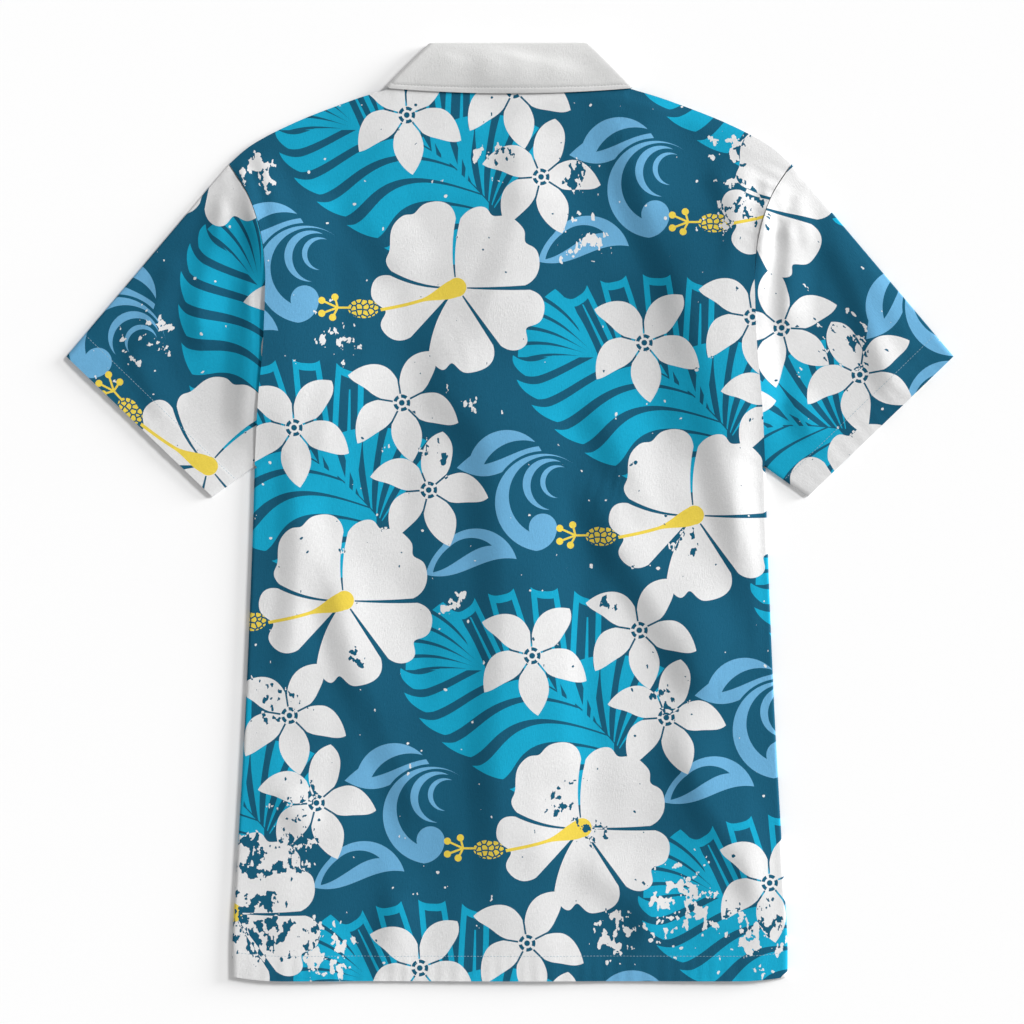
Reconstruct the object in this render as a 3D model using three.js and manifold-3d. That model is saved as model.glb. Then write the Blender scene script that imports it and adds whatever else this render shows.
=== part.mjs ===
// A short-sleeved hawaiian shirt laid face down on a flat surface, with its back and collar uppermost.
// Millimetres. +X is to the right as one looks down on the back, +Y towards the collar and +Z up.
// The origin is on the surface, under the middle of the shirt's outline.

import * as THREE from 'three';
import { mergeVertices } from 'three/addons/utils/BufferGeometryUtils.js';
import Module from 'manifold-3d';

// Cloth and the spaces between its layers
const CLOTH = 1.2; // body and sleeves
const FALL_CLOTH = 1.6; // the collar's fall has an interlining
const AIR = 0.8; // between the two layers of the body or of a sleeve
const SEAM = 0.45; // between pieces that are sewn together
const LAID = 0.5; // between a piece and one that it only lies on

// The whole outline
const HALF_SPAN = 390; // from the middle to the tip of a sleeve
const HALF_LENGTH = 413; // from the middle to the hem, and to the top of the collar

// Collar
const ROLL = { y: 411.3, halfWidth: 65.5 }; // the roll across the back, a straight line
const FALL_SIDE = { x: 106, y: 371 }; // where the fall's free edge turns over the shoulder
const FALL_BACK_Y = 366.5; // the fall's free edge at the centre of the back
const FRONT_END = { x: 12, y: 285 }; // the roll's front end, at the closure
const COLLAR_POINT = { x: 62, y: 236 };
const ROLL_BOW = { x: 50, y: 344 }; // control points of the two front curves
const FALL_BOW = { x: 98, y: 300 };
const STAND_SHARE = { back: 0.9, frontEnd: 0.36 }; // the stand's height as a share of the fall's
const TURN_LIP = 2; // the fall goes this far past its roll, down to the stand

// Front closure
const OVERLAP = 16; // each front reaches this far past the centre
const FRONT_TOP_Y = 267;
const BUTTON = { count: 7, firstY: 250, spacing: 84, radius: 5.7, thick: 2.2 };
const THREAD_HOLE = { radius: 0.8, offset: 1.5 };

// Side fold of the body: the back turns under and meets the front on the underside
const ARMPIT_ROW_Y = 37.6; // the turned part ends here, just below the sleeve
const SIDE_LEVEL = 2 * CLOTH + AIR + LAID; // the back's underside along its sides, over a sleeve
const FOLD_RADIUS = (SIDE_LEVEL + CLOTH) / 2;
const ARMPIT = { x: 186, y: 66 };

// Right half of the outlines, each from the hem or the shoulder onwards
const SIDE_BELOW_ARM = [
  { x: 244, y: -409.4 },
  { x: 244, y: -380 },
  { x: 240, y: -310 },
  { x: 232.5, y: -175 },
  { x: 226.5, y: -30 },
  { x: 224.5, y: ARMPIT_ROW_Y },
];
const SIDE_OVER_SLEEVE = [
  { x: 224.5, y: ARMPIT_ROW_Y },
  { x: 221, y: 92 },
  { x: 216, y: 150 },
  { x: 214, y: 205 },
];
const ARMHOLE_UPPER = [
  { x: 214, y: 205 },
  { x: 217.5, y: 240 },
  { x: 229, y: 276 },
  { x: 247, y: 305 },
];
const ARMHOLE_LOWER = [
  ARMPIT,
  { x: 198, y: 101 },
  { x: 208, y: 150 },
  { x: 214, y: 205 },
];
const SHOULDER = [
  { x: 106.4, y: 370.6 },
  { x: 138, y: 361 },
  { x: 190, y: 341 },
  { x: 228, y: 321 },
  { x: 246.8, y: 305 },
];
const SIDE_SEAM = [
  { x: 234, y: -410.6 },
  { x: 208, y: -150 },
  { x: 186, y: 65.2 },
];
const SLEEVE_TIP = { x: HALF_SPAN, y: 136 };
const SLEEVE_UNDERARM_END = { x: 261.5, y: 12.5 };
const HEM_LIFT = { height: 4, width: 45, halfSpan: 244 }; // the hem's corners are cut higher

// Heights over the surface
const RIDGE = BUTTON.thick + SEAM; // the closure lies on its buttons
const CLOSURE_RISE = CLOTH + LAID; // one front lies on the other
const NECK_RISE = FALL_CLOTH + SEAM; // the fronts lie on the collar's fall
const NECK_MIDDLE = NECK_RISE + CLOTH + AIR / 2; // halfway between the collar's front and back
const RIDGE_FLAT = 17; // the closure is level for this far from the centre
const RIDGE_END = 80;

// The largest folds of the back: crest from one place to another, with height and half width
const BACK_FOLDS = [
  { from: [95, 352], by: [152, 228], to: [213, -20], height: 2.8, width: 24 },
  { from: [72, 124], by: [119, -30], to: [205, -182], height: 2.8, width: 24 },
  { from: [-127, 296], by: [-56, 137], to: [-20, 60], height: 2.6, width: 26 },
  { from: [-171, -18], by: [-134, -109], to: [-69, -282], height: 2.4, width: 24 },
  { from: [163, -237], by: [188, -268], to: [213, -300], height: 1.8, width: 20 },
  { from: [46, -277], by: [78, -315], to: [111, -353], height: 1.8, width: 22 },
];
// The sleeves' folds run from the shoulder to the hem of the sleeve
const SLEEVE_FOLDS = {
  left: [
    { from: [-250, 282], by: [-262, 215], to: [-272, 105], height: 2.4, width: 15 },
    { from: [-282, 235], by: [-298, 185], to: [-315, 125], height: 1.6, width: 15 },
  ],
  right: [
    { from: [252, 270], by: [262, 190], to: [275, 95], height: 2.4, width: 15 },
    { from: [280, 255], by: [318, 180], to: [340, 118], height: 2, width: 15 },
  ],
};

// Grid steps
const STEPS = {
  belowArm: 16,
  lowerArmhole: 7,
  upperArmhole: 5,
  fold: 4,
  lap: 3,
  shoulder: 8,
  frontTop: 2,
  sleeve: 9,
  sideTurn: 6,
  backNeck: 6,
  frontNeck: 8,
  fall: 4,
  roll: 4,
  stand: 3,
};

const { smoothstep, lerp } = THREE.MathUtils;
const wasm = await Module();
wasm.setup();

// 1 up to start, then smoothly down to 0 at end.
function fade(value, start, end) {
  return 1 - smoothstep(value, start, end);
}

function plan({ x, y }) {
  return new THREE.Vector2(x, y);
}

function raised(point, z) {
  return new THREE.Vector3(point.x, point.y, z);
}

// A smooth line through a table's points, walked by its length from 0 to 1.
function line(table) {
  const points = table.map((row) => raised(row, 0));
  const curve = new THREE.CatmullRomCurve3(points, false, 'centripetal');
  return (t) => plan(curve.getPointAt(THREE.MathUtils.clamp(t, 0, 1)));
}

// A surface between four lines. bottom and top run with u, start and end run with v.
function patch(bottom, top, start, end) {
  return (u, v) => {
    const across = bottom(u).multiplyScalar(1 - v).add(top(u).multiplyScalar(v));
    const along = start(v).multiplyScalar(1 - u).add(end(v).multiplyScalar(u));
    const low = bottom(0).lerp(bottom(1), u).multiplyScalar(1 - v);
    const high = top(0).lerp(top(1), u).multiplyScalar(v);
    return across.add(along).sub(low).sub(high);
  };
}

// Height of a list of folds at a place: each is a soft ridge that fades out at both ends.
function foldHeight(folds, place) {
  let height = 0;
  for (const fold of folds) {
    const curve = new THREE.QuadraticBezierCurve(
      new THREE.Vector2(...fold.from),
      new THREE.Vector2(...fold.by),
      new THREE.Vector2(...fold.to),
    );
    const steps = 16;
    let nearest = Infinity;
    let walked = 0;
    for (let k = 0; k <= steps; k++) {
      const away = curve.getPoint(k / steps).distanceTo(place);
      if (away < nearest) {
        nearest = away;
        walked = k / steps;
      }
    }
    const ends = smoothstep(walked, 0, 0.15) * fade(walked, 0.85, 1);
    height += fold.height * Math.exp(-((nearest / fold.width) ** 2)) * lerp(0.3, 1, ends);
  }
  return height;
}

// Hem of the body at a distance from the centre.
function hemY(x) {
  const corner = Math.max(0, Math.abs(x) - (HEM_LIFT.halfSpan - HEM_LIFT.width)) / HEM_LIFT.width;
  return -HALF_LENGTH + HEM_LIFT.height * corner ** 2;
}

// Rise of the closure over its buttons, which ends below the last button.
function ridgeRise(place) {
  const lastY = BUTTON.firstY - (BUTTON.count - 1) * BUTTON.spacing;
  const along = smoothstep(place.y, lastY - 85, lastY - 15);
  return RIDGE * fade(Math.abs(place.x), RIDGE_FLAT, RIDGE_END) * along;
}

// Rise over the part of the collar's fall that lies under the fronts.
function neckRise(place) {
  const edgeX = 72 + 0.32 * Math.max(0, place.y - COLLAR_POINT.y);
  const wide = fade(Math.abs(place.x), edgeX + 8, edgeX + 56);
  const high = smoothstep(place.y, COLLAR_POINT.y - 58, COLLAR_POINT.y - 10);
  return NECK_RISE * wide * high;
}

// Underside of the front that lies lowest.
function frontLevel(place) {
  const ridge = ridgeRise(place);
  return ridge + neckRise(place) * (1 - ridge / RIDGE);
}

// Underside of the back.
function backLevel(place) {
  const side = Math.abs(place.x);
  const overClosure = fade(place.y, FRONT_TOP_Y + 5, FRONT_TOP_Y + 35);
  const ridge = ridgeRise(place) * overClosure;
  const overlap = CLOSURE_RISE * fade(side, RIDGE_FLAT, RIDGE_END) * overClosure;
  const neck = neckRise(place) * (1 - ridge / RIDGE);
  const lofted = smoothstep(side, 120, 180) * fade(place.y, 224, 290);
  const loft = (SIDE_LEVEL - CLOTH - AIR) * lofted;
  const inside = fade(side, 180, 206) * fade(place.y, 325, 350) * (1 - 0.6 * lofted);
  return CLOTH + AIR + ridge + overlap + neck + loft + foldHeight(BACK_FOLDS, place) * inside;
}

// Geometry of a closed wall over a grid of stations. Each station has a point on the outer and on
// the inner face of the cloth. Seen from outside, columns run to the right and rows run upwards.
// A missing station leaves the cloth open there, and a ring closes the columns into a tube.
function wall(grid, ring = false) {
  const corners = [];
  const columns = grid[0].length;
  const station = (row, column) => {
    const wrapped = ring ? (column + columns) % columns : column;
    return grid[row]?.[wrapped];
  };
  const cell = (row, column) => {
    const around = [
      station(row, column),
      station(row, column + 1),
      station(row + 1, column + 1),
      station(row + 1, column),
    ];
    return around.every(Boolean) ? around : null;
  };
  const triangle = (a, b, c) => corners.push(a, b, c);
  for (let row = 0; row < grid.length - 1; row++) {
    for (let column = 0; column < (ring ? columns : columns - 1); column++) {
      const around = cell(row, column);
      if (!around) continue;
      const [a, b, c, d] = around;
      triangle(a.outer, b.outer, c.outer);
      triangle(a.outer, c.outer, d.outer);
      triangle(a.inner, c.inner, b.inner);
      triangle(a.inner, d.inner, c.inner);
      const beyond = [
        cell(row - 1, column),
        cell(row, column + 1),
        cell(row + 1, column),
        cell(row, column - 1),
      ];
      around.forEach((from, k) => {
        if (beyond[k]) return;
        const to = around[(k + 1) % 4];
        triangle(from.inner, to.inner, to.outer);
        triangle(from.inner, to.outer, from.outer);
      });
    }
  }
  const geometry = new THREE.BufferGeometry().setFromPoints(corners);
  geometry.computeVertexNormals();
  return geometry;
}

function flipped({ x, y, z }) {
  return new THREE.Vector3(-x, y, z);
}

// The same grid on the left of the shirt.
function mirrored(grid) {
  return grid.map((row) =>
    row.map((one) => one && { outer: flipped(one.outer), inner: flipped(one.inner) }).reverse(),
  );
}

// One station of a collar at the right or the back. The roll runs through rollPoint, the fall's free
// edge through edgePoint, and outward points out of the neck.
function neckStation(rollPoint, edgePoint, outward, standShare) {
  const along = edgePoint.clone().sub(rollPoint);
  const width = along.length();
  along.normalize();
  const at = (distance, depth) =>
    raised(rollPoint.clone().addScaledVector(along, distance), NECK_MIDDLE)
      .addScaledVector(outward, depth);
  return { at, width, standWidth: width * standShare };
}

function backNeckStation(share) {
  const x = ROLL.halfWidth * share;
  const edgeX = FALL_SIDE.x * share;
  const edgeY = lerp(FALL_BACK_Y, FALL_SIDE.y, share ** 2);
  const up = new THREE.Vector3(0, 0, 1);
  return neckStation(plan({ x, y: ROLL.y }), plan({ x: edgeX, y: edgeY }), up, STAND_SHARE.back);
}

const rollCorner = plan({ x: ROLL.halfWidth, y: ROLL.y });
const fallCorner = plan(FALL_SIDE);

function sideNeckStation(angle) {
  const slant = fallCorner.clone().sub(rollCorner).normalize();
  const aside = new THREE.Vector3(-slant.y, slant.x, 0);
  const outward = new THREE.Vector3(0, 0, Math.cos(angle)).addScaledVector(aside, Math.sin(angle));
  return neckStation(rollCorner, fallCorner, outward, STAND_SHARE.back);
}

const frontRoll = new THREE.QuadraticBezierCurve(rollCorner, plan(ROLL_BOW), plan(FRONT_END));
const frontEdge = new THREE.QuadraticBezierCurve(fallCorner, plan(FALL_BOW), plan(COLLAR_POINT));

function frontNeckStation(share) {
  const down = new THREE.Vector3(0, 0, -1);
  const standShare = lerp(STAND_SHARE.back, STAND_SHARE.frontEnd, share);
  return neckStation(frontRoll.getPoint(share), frontEdge.getPoint(share), down, standShare);
}

// Stations from the right front end, round the right side, across the back and to the left front end.
function neckStations() {
  const right = [];
  for (let k = STEPS.frontNeck; k >= 1; k--) right.push(frontNeckStation(k / STEPS.frontNeck));
  for (let k = 0; k < STEPS.sideTurn; k++) {
    right.push(sideNeckStation(Math.PI * (1 - k / STEPS.sideTurn)));
  }
  for (let k = STEPS.backNeck; k >= 1; k--) right.push(backNeckStation(k / STEPS.backNeck));
  const left = right
    .map((one) => ({ ...one, at: (distance, depth) => flipped(one.at(distance, depth)) }))
    .reverse();
  return [...right, backNeckStation(0), ...left];
}

// Where the collar's stand meets the body, from the closure or the centre back to the side.
function frontNeckline(t) {
  const one = frontNeckStation(1 - t);
  return plan(one.at(one.standWidth + SEAM, 0));
}

function backNeckline(share) {
  const one = backNeckStation(share);
  return plan(one.at(one.standWidth + SEAM, 0));
}

// From the neck to the start of the shoulder's outline, where the fall's free edge is passed.
function underFall(t) {
  return backNeckline(1).lerp(plan(SHOULDER[0]), t);
}

// Lines end to end, each with its own number of steps, as one line walked from 0 to 1.
function chain(parts) {
  const steps = sum(parts.map((part) => part.steps));
  return (t) => {
    let left = t * steps;
    for (const part of parts) {
      if (left <= part.steps + 1e-9) return part.curve(left / part.steps);
      left -= part.steps;
    }
    return parts.at(-1).curve(1);
  };
}

function sum(numbers) {
  return numbers.reduce((total, number) => total + number, 0);
}

function shifted(curve, dx) {
  return (t) => curve(t).add(new THREE.Vector2(dx, 0));
}

function reversed(curve) {
  return (t) => curve(1 - t);
}

const BODY_ROWS = sum([STEPS.belowArm, STEPS.lowerArmhole, STEPS.upperArmhole]);
const ARM_ROW = STEPS.belowArm / BODY_ROWS;
const sideSeam = line(SIDE_SEAM);
const upperArmhole = line(ARMHOLE_UPPER);
const lowerArmhole = line(ARMHOLE_LOWER);

// Back: a panel whose sides turn under below the sleeves and end at the side seams.
function backGrid() {
  const columns = 2 * sum([STEPS.backNeck, 1, STEPS.shoulder]);
  const rightEdge = chain([
    { curve: shifted(line(SIDE_BELOW_ARM), -FOLD_RADIUS), steps: STEPS.belowArm },
    { curve: line(SIDE_OVER_SLEEVE), steps: STEPS.lowerArmhole },
    { curve: shifted(upperArmhole, -SEAM / 2), steps: STEPS.upperArmhole },
  ]);
  const leftEdge = (v) => {
    const point = rightEdge(v);
    return point.setX(-point.x);
  };
  const corner = rightEdge(0);
  const hem = (u) => {
    const x = lerp(-corner.x, corner.x, u);
    return plan({ x, y: hemY(x) });
  };
  const halfTop = chain([
    { curve: backNeckline, steps: STEPS.backNeck },
    { curve: underFall, steps: 1 },
    { curve: line(SHOULDER), steps: STEPS.shoulder },
  ]);
  const top = (u) => {
    const point = halfTop(Math.abs(2 * u - 1));
    return point.setX(Math.sign(u - 0.5) * point.x);
  };
  const surface = patch(hem, top, leftEdge, rightEdge);

  const turnedUnder = (v, side) => {
    const edge = side > 0 ? rightEdge(v) : leftEdge(v);
    const stations = [];
    for (let k = 1; k <= STEPS.fold; k++) {
      const angle = Math.PI * (0.5 - k / STEPS.fold);
      const at = (radius) => {
        const x = edge.x + side * radius * Math.cos(angle);
        return new THREE.Vector3(x, edge.y, FOLD_RADIUS + radius * Math.sin(angle));
      };
      stations.push({ outer: at(FOLD_RADIUS), inner: at(FOLD_RADIUS - CLOTH) });
    }
    const seam = sideSeam(v / ARM_ROW);
    seam.x *= side;
    for (let k = 1; k <= STEPS.lap; k++) {
      const point = edge.clone().lerp(seam, k / STEPS.lap);
      stations.push({ outer: raised(point, 0), inner: raised(point, CLOTH) });
    }
    return side > 0 ? stations : stations.reverse();
  };

  const untouched = new Array(STEPS.fold + STEPS.lap).fill(null);
  const grid = [];
  for (let j = 0; j <= BODY_ROWS; j++) {
    const v = j / BODY_ROWS;
    const turned = j <= STEPS.belowArm;
    const row = turned ? turnedUnder(v, -1) : [...untouched];
    for (let i = 0; i <= columns; i++) {
      const place = surface(i / columns, v);
      const atFold = turned && (i === 0 || i === columns);
      const z = atFold ? SIDE_LEVEL : backLevel(place) - (v === 1 ? shoulderDrop(place) : 0);
      row.push({ outer: raised(place, z + CLOTH), inner: raised(place, z) });
    }
    row.push(...(turned ? turnedUnder(v, 1) : untouched));
    grid.push(row);
  }
  return grid;
}

// The back's top edge comes down to the fronts along the shoulder seam, outside the collar.
function shoulderDrop(place) {
  return (AIR - SEAM) * smoothstep(Math.abs(place.x), 112, 140);
}

// Front: from its edge at the closure to the side seam and the armhole.
function frontGrid(liesOver) {
  const columns = sum([STEPS.frontTop, STEPS.frontNeck, 1, STEPS.shoulder - 2]);
  const sideEdge = chain([
    { curve: shifted(sideSeam, -SEAM), steps: STEPS.belowArm },
    { curve: shifted(lowerArmhole, -SEAM / 2), steps: STEPS.lowerArmhole },
    { curve: shifted(upperArmhole, -SEAM / 2), steps: STEPS.upperArmhole },
  ]);
  const corner = sideEdge(0);
  const hem = (u) => {
    const x = lerp(-OVERLAP, corner.x, u);
    return plan({ x, y: hemY(x) });
  };
  const closure = (v) => plan({ x: -OVERLAP, y: lerp(-HALF_LENGTH, FRONT_TOP_Y, v) });
  const top = chain([
    { curve: (t) => closure(1).lerp(frontNeckline(0), t), steps: STEPS.frontTop },
    { curve: frontNeckline, steps: STEPS.frontNeck },
    { curve: underFall, steps: 1 },
    { curve: line(SHOULDER), steps: STEPS.shoulder - 2 },
  ]);
  const surface = patch(hem, top, closure, sideEdge);
  const grid = [];
  for (let j = 0; j <= BODY_ROWS; j++) {
    const row = [];
    for (let i = 0; i <= columns; i++) {
      const place = surface(i / columns, j / BODY_ROWS);
      const over = liesOver ? CLOSURE_RISE * fade(place.x, RIDGE_FLAT, RIDGE_END) : 0;
      const z = frontLevel(place) + over;
      row.push({ outer: raised(place, z + CLOTH), inner: raised(place, z) });
    }
    grid.push(row);
  }
  return grid;
}

// Sleeve: a flattened tube from the armhole to its hem, folded at the top and seamed underneath.
function sleeveGrid(folds, side) {
  const radius = (2 * CLOTH + AIR) / 2;
  const wide = sum([STEPS.lowerArmhole, STEPS.upperArmhole]);
  const armhole = chain([
    { curve: shifted(reversed(upperArmhole), SEAM / 2), steps: STEPS.upperArmhole },
    { curve: shifted(reversed(lowerArmhole), SEAM / 2), steps: STEPS.lowerArmhole },
  ]);
  const topFold = (t) => armhole(0).lerp(plan(SLEEVE_TIP), t);
  const underarm = (t) => armhole(1).lerp(plan(SLEEVE_UNDERARM_END), t);
  const hem = (t) => plan(SLEEVE_TIP).lerp(plan(SLEEVE_UNDERARM_END), t);
  const surface = patch(topFold, underarm, armhole, hem);
  const grid = [];
  for (let j = 0; j <= STEPS.sleeve; j++) {
    const u = j / STEPS.sleeve;
    const first = surface(u, 0);
    const last = surface(u, 1);
    const across = last.clone().sub(first).normalize();
    const inset = (v) => {
      const nearTop = across.clone().multiplyScalar(radius * (1 - v));
      const nearUnderarm = across.clone().multiplyScalar(-radius * v);
      return surface(u, v).add(nearTop).add(nearUnderarm);
    };
    const upper = [];
    const lower = [];
    for (let i = 0; i <= wide; i++) {
      const v = i / wide;
      const place = inset(v);
      const free = smoothstep(u, 0.02, 0.3) * Math.sin(Math.PI * v) ** 0.5;
      const sided = new THREE.Vector2(side * place.x, place.y);
      const z = CLOTH + AIR + foldHeight(folds, sided) * free;
      upper.push({ outer: raised(place, z + CLOTH), inner: raised(place, z) });
      lower.push({ outer: raised(place, 0), inner: raised(place, CLOTH) });
    }
    const turn = (centre, direction, rising) => {
      const stations = [];
      for (let k = 1; k < STEPS.fold; k++) {
        const angle = Math.PI * (0.5 - k / STEPS.fold) * (rising ? -1 : 1);
        const at = (size) =>
          raised(centre.clone().addScaledVector(direction, size * Math.cos(angle)), 0)
            .setZ(radius + size * Math.sin(angle));
        stations.push({ outer: at(radius), inner: at(radius - CLOTH) });
      }
      return stations;
    };
    const underTurn = turn(inset(1), across, false);
    const topTurn = turn(inset(0), across.clone().negate(), true);
    grid.push([...upper, ...underTurn, ...lower.reverse(), ...topTurn]);
  }
  return grid;
}

// Collar fall: from its free edge to the roll, over it and down to the stand.
function fallGrid() {
  const outerRadius = (FALL_CLOTH + SEAM + CLOTH) / 2;
  const innerRadius = outerRadius - (FALL_CLOTH + CLOTH) / 2;
  const near = AIR / 2;
  const outerCentre = near + outerRadius;
  const innerCentre = near + CLOTH + innerRadius;
  const far = near + 2 * outerRadius;
  return neckStations().map(({ at, width }) => {
    const row = [];
    for (let k = 0; k < STEPS.fall; k++) {
      const distance = lerp(width, outerRadius, k / STEPS.fall);
      row.push({ outer: at(distance, far), inner: at(distance, far - FALL_CLOTH) });
    }
    for (let k = 0; k <= STEPS.roll; k++) {
      const angle = (Math.PI * k) / STEPS.roll;
      const on = (radius, centre) =>
        at(outerRadius - radius * Math.sin(angle), centre + radius * Math.cos(angle));
      row.push({ outer: on(outerRadius, outerCentre), inner: on(innerRadius, innerCentre) });
    }
    const end = outerRadius + TURN_LIP;
    row.push({ outer: at(end, near), inner: at(end, near + CLOTH) });
    return row;
  });
}

// Collar stand: from the fall's turned lip to the neck seam.
function standGrid() {
  const near = AIR / 2;
  const start = (FALL_CLOTH + SEAM + CLOTH) / 2 + TURN_LIP + SEAM;
  return neckStations().map(({ at, standWidth }) => {
    const row = [];
    for (let k = 0; k <= STEPS.stand; k++) {
      const distance = lerp(standWidth, start, k / STEPS.stand);
      row.push({ outer: at(distance, near + CLOTH), inner: at(distance, near) });
    }
    return row;
  });
}

function solidOf(geometry) {
  const bare = geometry.clone();
  bare.deleteAttribute('normal');
  bare.deleteAttribute('uv');
  const merged = mergeVertices(bare, 1e-4);
  return new wasm.Manifold(
    new wasm.Mesh({
      numProp: 3,
      vertProperties: merged.attributes.position.array,
      triVerts: new Uint32Array(merged.index.array),
    }),
  );
}

function geometryOf(solid) {
  const mesh = solid.getMesh();
  const geometry = new THREE.BufferGeometry();
  geometry.setAttribute('position', new THREE.BufferAttribute(mesh.vertProperties, 3));
  geometry.setIndex(new THREE.BufferAttribute(mesh.triVerts, 1));
  geometry.computeVertexNormals();
  return geometry;
}

// A four-hole button with a raised rim. Its face looks down.
function buttonGeometry() {
  const { radius, thick } = BUTTON;
  const profile = [
    { x: 0, y: 0.6 },
    { x: radius - 2.3, y: 0.6 },
    { x: radius - 1.5, y: 0 },
    { x: radius - 0.6, y: 0 },
    { x: radius, y: 0.7 },
    { x: radius, y: thick - 0.7 },
    { x: radius - 0.7, y: thick },
    { x: 0, y: thick },
  ];
  const turned = new THREE.LatheGeometry(profile.map(plan), 20);
  turned.rotateX(Math.PI / 2);
  let solid = solidOf(turned);
  for (const [right, up] of [[1, 1], [1, -1], [-1, 1], [-1, -1]]) {
    const hole = new THREE.CylinderGeometry(THREAD_HOLE.radius, THREAD_HOLE.radius, 3 * thick, 6);
    hole.rotateX(Math.PI / 2);
    hole.translate(right * THREAD_HOLE.offset, up * THREAD_HOLE.offset, thick / 2);
    solid = solid.subtract(solidOf(hole));
  }
  return geometryOf(solid);
}

function cloth(color) {
  return new THREE.MeshStandardMaterial({ color, roughness: 0.9, metalness: 0, side: THREE.DoubleSide });
}

const printedCloth = cloth(0x1d5d78);
const collarCloth = cloth(0xe4e4e4);
const buttonShell = new THREE.MeshStandardMaterial({ color: 0xe9e7e0, roughness: 0.35, metalness: 0 });

const shirt = new THREE.Group();

function add(name, geometry, material, place = [0, 0, 0]) {
  const mesh = new THREE.Mesh(geometry, material);
  mesh.name = name;
  mesh.position.set(...place);
  shirt.add(mesh);
}

add('back', wall(backGrid()), printedCloth);
add('front_right', wall(frontGrid(true)), printedCloth);
add('front_left', wall(mirrored(frontGrid(false))), printedCloth);
add('sleeve_right', wall(sleeveGrid(SLEEVE_FOLDS.right, 1), true), printedCloth);
add('sleeve_left', wall(mirrored(sleeveGrid(SLEEVE_FOLDS.left, -1)), true), printedCloth);
add('collar_fall', wall(fallGrid()), collarCloth);
add('collar_stand', wall(standGrid()), collarCloth);

const button = buttonGeometry();
for (let k = 0; k < BUTTON.count; k++) {
  add(`button_${k + 1}`, button, buttonShell, [0, BUTTON.firstY - k * BUTTON.spacing, 0]);
}

export default shirt;
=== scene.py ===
"""A printed short-sleeved shirt lying face down on a pale surface: the looks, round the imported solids.

Sizes are in millimetres, as in the solids, and become metres when a mesh is made. The shirt's frame
has +X to the right as one looks down on its back, +Y towards the collar and +Z up.
"""

import math
from collections import namedtuple

import bpy
import numpy as np
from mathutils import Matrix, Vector, geometry
from mathutils.bvhtree import BVHTree


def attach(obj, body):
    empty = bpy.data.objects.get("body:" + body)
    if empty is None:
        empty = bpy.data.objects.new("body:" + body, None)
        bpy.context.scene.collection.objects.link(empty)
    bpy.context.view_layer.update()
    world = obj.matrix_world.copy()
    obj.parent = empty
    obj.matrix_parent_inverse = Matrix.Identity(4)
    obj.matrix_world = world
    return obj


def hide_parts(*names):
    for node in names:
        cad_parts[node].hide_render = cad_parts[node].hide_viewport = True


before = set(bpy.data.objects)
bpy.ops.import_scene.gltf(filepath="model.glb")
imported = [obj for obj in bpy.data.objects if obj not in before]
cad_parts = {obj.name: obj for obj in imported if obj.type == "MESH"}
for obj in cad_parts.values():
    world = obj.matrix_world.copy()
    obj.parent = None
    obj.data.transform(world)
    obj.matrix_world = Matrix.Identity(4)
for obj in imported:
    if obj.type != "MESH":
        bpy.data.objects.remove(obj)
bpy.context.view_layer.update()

MM = 0.001
MIRROR = np.array([-1, 1, 1])  # from the right of the shirt to the left

# Cloth, and the layers of the solids
WALL = 1.2  # the solids' cloth
FALL_WALL = 1.6
THIN = 0.6  # the cloth that shows
FALL_THIN = 0.9
AIR = 0.8
SEAM = 0.45
LAID = 0.5

# Outline
HALF_LENGTH = 413
TOP_TO_HEM = 730
ROLL_Y = 411.3
ROLL_HALF_WIDTH = 65.5
FALL_SIDE = (106, 371)
FALL_BACK_Y = 366.5
FRONT_END = (12, 285)
COLLAR_POINT = (62, 236)
ROLL_BOW = (50, 344)
FALL_BOW = (98, 300)
STAND_SHARE_BACK = 0.9
STAND_SHARE_FRONT_END = 0.36
TURN_LIP = 2
CORNER_EASE = 3.6
OVERLAP = 16
FRONT_TOP_Y = 267
BUTTON_RADIUS = 5.7
BUTTON_THICK = 2.2
BUTTON_FIRST_Y = 250
BUTTON_SPACING = 84
BUTTON_COUNT = 7
ARMPIT_ROW_Y = 37.6
HEM_LIFT = 4
HEM_LIFT_WIDTH = 45
HEM_HALF_SPAN = 244
SIDE_LEVEL = 2 * WALL + AIR + LAID
FOLD_RADIUS = (SIDE_LEVEL + WALL) / 2
SIDE_BELOW_ARM = [(HEM_HALF_SPAN, -409.4), (HEM_HALF_SPAN, -380), (240, -310), (232.5, -175), (226.5, -30),
                  (224.5, ARMPIT_ROW_Y)]
SIDE_OVER_SLEEVE = [(224.5, ARMPIT_ROW_Y), (221, 92), (216, 150), (214, 205)]
ARMHOLE_UPPER = [(214, 205), (217.5, 240), (229, 276), (247, 305)]
ARMHOLE_LOWER = [(186, 66), (198, 101), (208, 150), (214, 205)]
SHOULDER = [(106.4, 370.6), (138, 361), (190, 341), (228, 321), (246.8, 305)]
SIDE_SEAM = [(234, -410.6), (208, -150), (186, 65.2)]
SLEEVE_TIP = (390, 136)
SLEEVE_UNDERARM_END = (261.5, 12.5)

# Heights
RIDGE = BUTTON_THICK + SEAM
CLOSURE_RISE = WALL + LAID
NECK_RISE = FALL_WALL + SEAM
NECK_MIDDLE = NECK_RISE + WALL + AIR / 2
RIDGE_FLAT = 17
RIDGE_END = 80
HIGHEST_FOLD = 13.5  # no fold of the back stands higher than this over its level
ARM_RISE = 11  # the armhole's edge over its level
HEM_PULL = 0.16  # of the hem's stitches
BACK_RIPPLE, BACK_CREASE_SCALE = 1.9, 1.45
SLEEVE_RIPPLE, SLEEVE_CREASE_SCALE = 1.4, 1.6

# Turned hems
HEM_WIDTH = 22
SLEEVE_HEM_WIDTH = 25
FACING_WIDTH = 34
FALL_HEM = 5
HEM_THICKER = 0.3

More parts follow.
